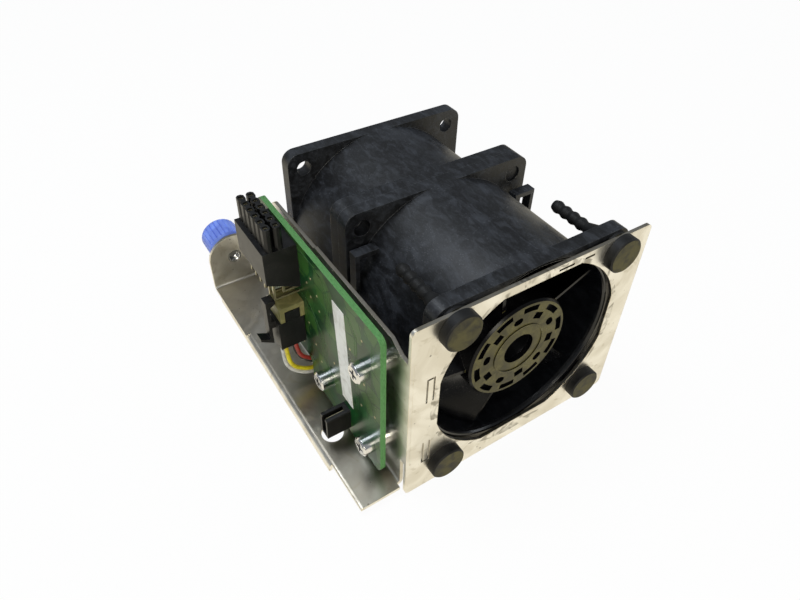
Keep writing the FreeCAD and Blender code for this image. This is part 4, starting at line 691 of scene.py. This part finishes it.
class Wardrobe:
    """Makes each finish once and puts it on the nodes and the new pieces."""

    def __init__(self, finishes: Iterable[Finish]) -> None:
        """Makes the materials.

        Args:
            finishes: One finish for each slot.
        """
        self.materials = {finish.slot: finish.make() for finish in finishes}

    def dress(self, node: str, slot: Slot) -> None:
        """Puts a finish on a node of the frame.

        Args:
            node: The node's name.
            slot: The finish that it takes.
        """
        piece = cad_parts[node]
        if not piece.material_slots:
            piece.data.materials.append(self.materials[slot.value])
        for held in piece.material_slots:
            held.material = self.materials[slot.value]
        LOG.info("%s dressed with %s", node, slot.value)

    def add(
        self, name: str, mesh: bmesh.types.BMesh, body: str, slot: Slot, smooth: bool = False
    ) -> bpy.types.Object:
        """Turns a finished mesh into a piece of the module.

        Args:
            name: The piece's name.
            mesh: Its mesh, placed in the module's frame; it is freed here.
            body: The body that it moves with.
            slot: The finish that it takes.
            smooth: Whether its faces are shaded smooth.

        Returns:
            The new piece.
        """
        bmesh.ops.remove_doubles(mesh, verts=mesh.verts, dist=MERGE_DISTANCE)
        bmesh.ops.recalc_face_normals(mesh, faces=mesh.faces)
        for face in mesh.faces:
            face.smooth = smooth
        data = bpy.data.meshes.new(name)
        mesh.to_mesh(data)
        mesh.free()
        data.materials.append(self.materials[slot.value])
        piece = bpy.data.objects.new(name, data)
        bpy.context.scene.collection.objects.link(piece)
        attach(piece, body)
        LOG.info("%s made, %d faces", name, len(data.polygons))
        return piece


# ---------------------------------------------------------------- layout and shapes


@dataclass(frozen=True)
class Layout:
    """The module's own axes: X and Z from the fan axis and Y from the plate's face, in millimetres."""

    axis_x: float
    face_y: float
    axis_z: float

    @classmethod
    def of_frame(cls) -> "Layout":
        """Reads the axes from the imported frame."""
        low, high = (Vector(corner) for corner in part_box("front_impeller"))
        fan_front = Vector(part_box("front_fan_frame")[0])
        return cls((low.x + high.x) / 2, fan_front.y - FAN_SETBACK * MM, (low.z + high.z) / 2)

    def at(self, x: float, y: float, z: float) -> Vector:
        """Gives the place of a point in the frame, in metres."""
        return Vector((self.axis_x + x * MM, self.face_y + y * MM, self.axis_z + z * MM))


class Shapes:
    """Small solids made with mesh operators, all measured in millimetres."""

    def __init__(self, layout: Layout) -> None:
        """Keeps the layout that the solids are placed by."""
        self.layout = layout

    def disc_x(
        self, mesh: bmesh.types.BMesh, place: Triple, radii: Point, height: float, sides: int
    ) -> None:
        """Adds a disc or cone on a face square to X.

        Args:
            mesh: The mesh that it is added to.
            place: The middle of its foot.
            radii: Its radius at the foot and at the top.
            height: How far it stands out along -X, or along +X where it is negative.
            sides: How many sides it has.
        """
        centre = self.layout.at(*place) + Vector((-height * MM / 2, 0.0, 0.0))
        turn = Matrix.Translation(centre) @ Matrix.Rotation(math.copysign(math.pi / 2, -height), 4, "Y")
        foot, top = (radius * MM for radius in radii)
        size = {"segments": sides, "radius1": foot, "radius2": top, "depth": abs(height) * MM}
        bmesh.ops.create_cone(mesh, cap_ends=True, matrix=turn, **size)

    def strip_x(
        self, mesh: bmesh.types.BMesh, x: float, start: Point, end: Point, width: float, height: float
    ) -> None:
        """Adds a flat strip on a face square to X, a little longer than its run so that corners meet.

        Args:
            mesh: The mesh that it is added to.
            x: Where the face is.
            start: Its start, as Y and Z.
            end: Its end, as Y and Z.
            width: Its width.
            height: How far it stands out along -X.
        """
        run = Vector((0.0, end[0] - start[0], end[1] - start[1]))
        middle = self.layout.at(x - height / 2, (start[0] + end[0]) / 2, (start[1] + end[1]) / 2)
        angle = math.atan2(run.z, run.y)
        size = Matrix.Diagonal((height * MM, (run.length + width * STRIP_OVERLAP) * MM, width * MM, 1.0))
        place = Matrix.Translation(middle) @ Matrix.Rotation(angle, 4, "X")
        bmesh.ops.create_cube(mesh, size=1.0, matrix=place @ size)


# ---------------------------------------------------------------- sub-assemblies


@dataclass
class SheetBracket:
    """The folded bracket with its rubber isolators."""

    wardrobe: Wardrobe

    def build(self) -> None:
        """Dresses the bracket and the isolators."""
        self.wardrobe.dress("bracket", Slot.BRACKET)
        self.wardrobe.dress("rubber_isolators", Slot.RUBBER)


@dataclass
class Fan:
    """One fan: its moulded frame, its rotor and the motor inside."""

    wardrobe: Wardrobe
    side: str

    def build(self) -> None:
        """Dresses every node of the fan."""
        for part, slot in (
            ("fan_frame", Slot.FRAME),
            ("impeller", Slot.IMPELLER),
            ("rotor_yoke", Slot.YOKE),
            ("ring_magnet", Slot.MAGNET),
            ("shaft", Slot.SHAFT),
            ("shaft_clip", Slot.SPRING),
            ("preload_spring", Slot.SPRING),
            ("bearing_sleeve", Slot.SLEEVE),
            ("ball_bearings", Slot.SHAFT),
            ("stator_core", Slot.CORE),
            ("stator_insulators", Slot.INSULATOR),
            ("windings", Slot.WINDING),
            ("driver_board", Slot.BOARD),
        ):
            self.wardrobe.dress(f"{self.side}_{part}", slot)


@dataclass
class ControlBoard:
    """The control board with its label, copper runs, vias and solder joints."""

    wardrobe: Wardrobe
    shapes: Shapes
    face_x: float = -41.0
    trace_width: float = 0.42
    trace_height: float = 0.035
    lane_pitch: float = 0.95
    lane_slant: float = 0.41
    via_radius: float = 0.38
    via_height: float = 0.05
    via_top: float = 0.8
    via_sides: int = 14
    dimple_inset: float = 0.4
    dimple_depth: float = 0.8
    back_x: float = -39.4
    joint_radius: float = 0.7
    joint_height: float = 0.42
    joint_top: float = 0.42
    joint_sides: int = 20
    mate_columns: int = 6
    mate_pitch: float = 3.0
    mate_start_y: float = 48.2
    mate_rows_z: Point = (5.6, 7.4)
    header_tails: tuple[Point, ...] = ((48.2, 2.13), (51.2, 2.13))
    second_pins: int = 4
    second_pitch: float = 1.5
    second_middle: Point = (23.35, -21.7)
    buses: tuple[tuple[int, tuple[Point, ...]], ...] = (
        (4, ((46.2, 4.4), (41.0, 4.4), (33.5, -3.1), (33.5, -10.5), (27.8, -16.2))),
        (3, ((60.0, 6.2), (60.0, 1.5), (56.0, -2.5), (56.0, -9.5))),
        (3, ((44.8, 20.6), (34.0, 20.6), (30.4, 17.0), (30.4, 2.0))),
        (2, ((20.4, 18.5), (17.0, 15.1), (17.0, -12.0), (19.6, -14.6))),
        (2, ((9.0, 18.0), (9.0, 1.0), (11.5, -1.5), (11.5, -11.5))),
    )
    vias: tuple[Point, ...] = (
        (42.6, 12.6), (40.1, 15.8), (37.0, 12.2), (36.2, 7.4), (40.8, 8.9), (43.8, -3.2), (40.2, -8.8),
        (37.4, -13.4), (29.4, -6.2), (20.2, 8.0), (14.2, 16.4), (8.6, -6.0), (15.2, -8.4), (13.6, 1.4),
        (58.8, -6.8), (62.6, -4.2), (62.0, 3.2), (67.4, 4.6), (67.8, 16.2), (66.2, -6.4), (48.4, -14.8),
        (54.2, -14.2),
    )

    def build(self) -> None:
        """Dresses the board and adds what lies on its two faces."""
        self.wardrobe.dress("control_board", Slot.BOARD)
        self.wardrobe.dress("board_label", Slot.LABEL)
        self.wardrobe.dress("board_standoffs", Slot.FASTENER)
        self.wardrobe.dress("board_screws", Slot.FASTENER)
        self.add_traces()
        self.add_vias()
        self.add_joints()

    def add_traces(self) -> None:
        """Adds the copper runs under the mask, a bus at a time."""
        mesh = bmesh.new()
        for lanes, points in self.buses:
            for lane in range(lanes):
                aside = lane * self.lane_pitch
                moved = [(y + aside, z + aside * self.lane_slant) for y, z in points]
                for start, end in zip(moved, moved[1:]):
                    self.shapes.strip_x(mesh, self.face_x, start, end, self.trace_width, self.trace_height)
        self.wardrobe.add("board_traces", mesh, "chassis", Slot.BOARD)

    def add_vias(self) -> None:
        """Adds the tinned vias, each with a dimple in the middle."""
        mesh = bmesh.new()
        radii = (self.via_radius, self.via_radius * self.via_top)
        for y, z in self.vias:
            self.shapes.disc_x(mesh, (self.face_x, y, z), radii, self.via_height, self.via_sides)
        tops = [face for face in mesh.faces if face.normal.x < LEFT_FACING]
        inset = self.via_radius * self.dimple_inset * MM
        sunk = -self.via_height * self.dimple_depth * MM
        bmesh.ops.inset_individual(mesh, faces=tops, thickness=inset, depth=sunk)
        self.wardrobe.add("board_vias", mesh, "chassis", Slot.CONTACT)

    def add_joints(self) -> None:
        """Adds the solder joints on the board's back."""
        mesh = bmesh.new()
        radii = (self.joint_radius, self.joint_radius * self.joint_top)
        for y, z in self.tails():
            self.shapes.disc_x(mesh, (self.back_x, y, z), radii, -self.joint_height, self.joint_sides)
        self.wardrobe.add("board_joints", mesh, "chassis", Slot.CONTACT, True)

    def tails(self) -> list[Point]:
        """Gives the place of each solder joint, as Y and Z; each of the fan header's covers two tails."""
        columns = [self.mate_start_y + column * self.mate_pitch for column in range(self.mate_columns)]
        mate = [(y, z) for y in columns for z in self.mate_rows_z]
        middle_y, middle_z = self.second_middle
        half = (self.second_pins - 1) / 2
        second = [(middle_y, middle_z + (pin - half) * self.second_pitch) for pin in range(self.second_pins)]
        return mate + list(self.header_tails) + second


@dataclass
class Connectors:
    """The blind-mate connector, the fan header with its plug, and the second header."""

    wardrobe: Wardrobe

    def build(self) -> None:
        """Dresses the connectors."""
        for node, slot in (
            ("blind_mate_housing", Slot.CONNECTOR),
            ("blind_mate_contacts", Slot.CONTACT),
            ("fan_header_shroud", Slot.NYLON),
            ("fan_header_pins", Slot.CONTACT),
            ("fan_plug_housing", Slot.CONNECTOR),
            ("fan_plug_contacts", Slot.CONTACT),
            ("aux_header_housing", Slot.CONNECTOR),
            ("aux_header_pins", Slot.CONTACT),
            ("motor_link_pins", Slot.CONTACT),
        ):
            self.wardrobe.dress(node, slot)


@dataclass
class FanLeads:
    """The four leads from the plug to the motors."""

    wardrobe: Wardrobe

    def build(self) -> None:
        """Dresses the leads."""
        for slot in (Slot.RED, Slot.BLACK, Slot.YELLOW, Slot.WHITE):
            self.wardrobe.dress(slot.value, slot)


@dataclass
class Thumbscrew:
    """The captive thumbscrew behind the tab."""

    wardrobe: Wardrobe

    def build(self) -> None:
        """Dresses the thumbscrew."""
        self.wardrobe.dress("thumbscrew_knob", Slot.KNOB)
        self.wardrobe.dress("thumbscrew_screw", Slot.FASTENER)
        self.wardrobe.dress("thumbscrew_ferrule", Slot.FASTENER)
        self.wardrobe.dress("thumbscrew_spring", Slot.SPRING)
        self.wardrobe.dress("thumbscrew_washer", Slot.FASTENER)


# ---------------------------------------------------------------- studio


@dataclass(frozen=True)
class Viewpoint:
    """The camera: where it stands, how it is turned and how it is framed."""

    place: Triple = (-90.71, -75.13, 126.97)
    azimuth: float = -34.608
    elevation: float = 41.445
    roll: float = 2.098
    lens: float = 29.38
    shift: Point = (-0.0087, -0.0313)
    sensor: float = 36.0
    nearest: float = 0.01

    def build(self, layout: Layout) -> None:
        """Makes the camera and sets it as the scene's.

        Args:
            layout: The axes that its place is measured from.
        """
        data = bpy.data.cameras.new("camera")
        data.lens = self.lens
        data.sensor_width = self.sensor
        data.shift_x, data.shift_y = self.shift
        data.clip_start = self.nearest
        around, up, tilt = (math.radians(angle) for angle in (self.azimuth, self.elevation, self.roll))
        back = Vector((math.sin(around) * math.cos(up), -math.cos(around) * math.cos(up), math.sin(up)))
        level = (-back).cross(Vector((0.0, 0.0, 1.0))).normalized()
        upright = level.cross(-back)
        right = level * math.cos(tilt) + upright * math.sin(tilt)
        head = upright * math.cos(tilt) - level * math.sin(tilt)
        camera = bpy.data.objects.new("camera", data)
        turn = Matrix((right, head, back)).transposed().to_4x4()
        camera.matrix_world = Matrix.Translation(layout.at(*self.place)) @ turn
        bpy.context.scene.collection.objects.link(camera)
        bpy.context.scene.camera = camera


@dataclass(frozen=True)
class Lamp:
    """One soft lamp, aimed at the middle of the module."""

    name: str
    place: Triple
    size: float
    power: float
    colour: Triple = (1.0, 1.0, 1.0)

    def build(self, target: Vector) -> None:
        """Makes the lamp.

        Args:
            target: The point that it is aimed at.
        """
        data = bpy.data.lights.new(self.name, "AREA")
        data.size = self.size
        data.energy = self.power
        data.color = self.colour
        lamp = bpy.data.objects.new(self.name, data)
        lamp.location = self.place
        lamp.rotation_euler = (target - Vector(self.place)).to_track_quat("-Z", "Y").to_euler()
        bpy.context.scene.collection.objects.link(lamp)


@dataclass(frozen=True)
class Studio:
    """The pale floor, the plain world and the soft lamps."""

    floor_size: float = 6.0
    floor_tone: Colour = tone(238, 238, 236)
    glossy_tone: Colour = (1.0, 0.93, 0.76, 1.0)
    world_tone: Colour = (0.88, 0.94, 1.0, 1.0)
    world_level: float = 0.27
    camera_share: float = 0.95
    lamps: tuple[Lamp, ...] = (
        Lamp("top_lamp", (-0.16, 0.12, 0.62), 0.30, 2.3, (0.87, 0.93, 1.0)),
        Lamp("front_lamp", (-0.22, -0.55, 0.34), 0.26, 1.9, (1.0, 0.94, 0.80)),
        Lamp("side_lamp", (0.60, -0.10, 0.30), 0.30, 0.5, (0.92, 0.96, 1.0)),
    )

    def build(self) -> None:
        """Makes the floor, the world and the lamps."""
        self.make_floor()
        self.make_world()
        low, high = (Vector(corner) for corner in CAD_BOX)
        for lamp in self.lamps:
            lamp.build((low + high) / 2)
        bpy.context.scene.view_settings.view_transform = "Standard"

    def make_floor(self) -> None:
        """Makes the floor, which the camera sees as almost white."""
        mesh = bmesh.new()
        bmesh.ops.create_grid(mesh, x_segments=1, y_segments=1, size=self.floor_size / 2)
        data = bpy.data.meshes.new("floor")
        mesh.to_mesh(data)
        mesh.free()
        sheet = Sheet("floor_paper")
        path = sheet.node("ShaderNodeLightPath")
        seen = Value(sheet, path.outputs["Is Camera Ray"])
        mirrored = Value(sheet, path.outputs["Is Glossy Ray"])
        hue = sheet.blend((1.0, 1.0, 1.0, 1.0), self.glossy_tone, mirrored)
        glow = sheet.node("ShaderNodeEmission", {}, {"Color": hue, "Strength": 1.0})
        fibre = sheet.noise(4.0, 3.0)
        sheet.set(Base_Color=sheet.blend(self.floor_tone, tone(244, 244, 243), fibre), Roughness=0.9)
        share = seen.most(mirrored) * self.camera_share
        shaders = {0: share, 1: sheet.shader.outputs[0], 2: glow.outputs[0]}
        mixed = sheet.node("ShaderNodeMixShader", {}, shaders)
        sheet.join(sheet.tree.nodes["Material Output"].inputs["Surface"], mixed.outputs[0])
        data.materials.append(sheet.material)
        floor = bpy.data.objects.new("floor", data)
        bpy.context.scene.collection.objects.link(floor)

    def make_world(self) -> None:
        """Lights the scene evenly, and shows the camera plain white."""
        world = bpy.data.worlds.new("studio")
        world.use_nodes = True
        studio = Tree(world.node_tree)
        lit = studio.tree.nodes["Background"]
        studio.join(lit.inputs["Color"], self.world_tone)
        studio.join(lit.inputs["Strength"], self.world_level)
        white = studio.node("ShaderNodeBackground", {}, {"Color": (1.0, 1.0, 1.0, 1.0), "Strength": 1.0})
        path = studio.node("ShaderNodeLightPath")
        shaders = {0: path.outputs["Is Camera Ray"], 1: lit.outputs[0], 2: white.outputs[0]}
        mixed = studio.node("ShaderNodeMixShader", {}, shaders)
        studio.join(studio.tree.nodes["World Output"].inputs["Surface"], mixed.outputs[0])
        bpy.context.scene.world = world


def main() -> None:
    """Builds the camera, the studio and each sub-assembly in order."""
    logging.basicConfig(level=logging.INFO, format="%(name)s: %(message)s")
    layout = Layout.of_frame()
    Viewpoint().build(layout)
    Studio().build()
    wardrobe = Wardrobe(FINISHES)
    shapes = Shapes(layout)
    SheetBracket(wardrobe).build()
    for side in ("front", "rear"):
        Fan(wardrobe, side).build()
    ControlBoard(wardrobe, shapes).build()
    Connectors(wardrobe).build()
    FanLeads(wardrobe).build()
    Thumbscrew(wardrobe).build()


if __name__ == "__main__":
    main()
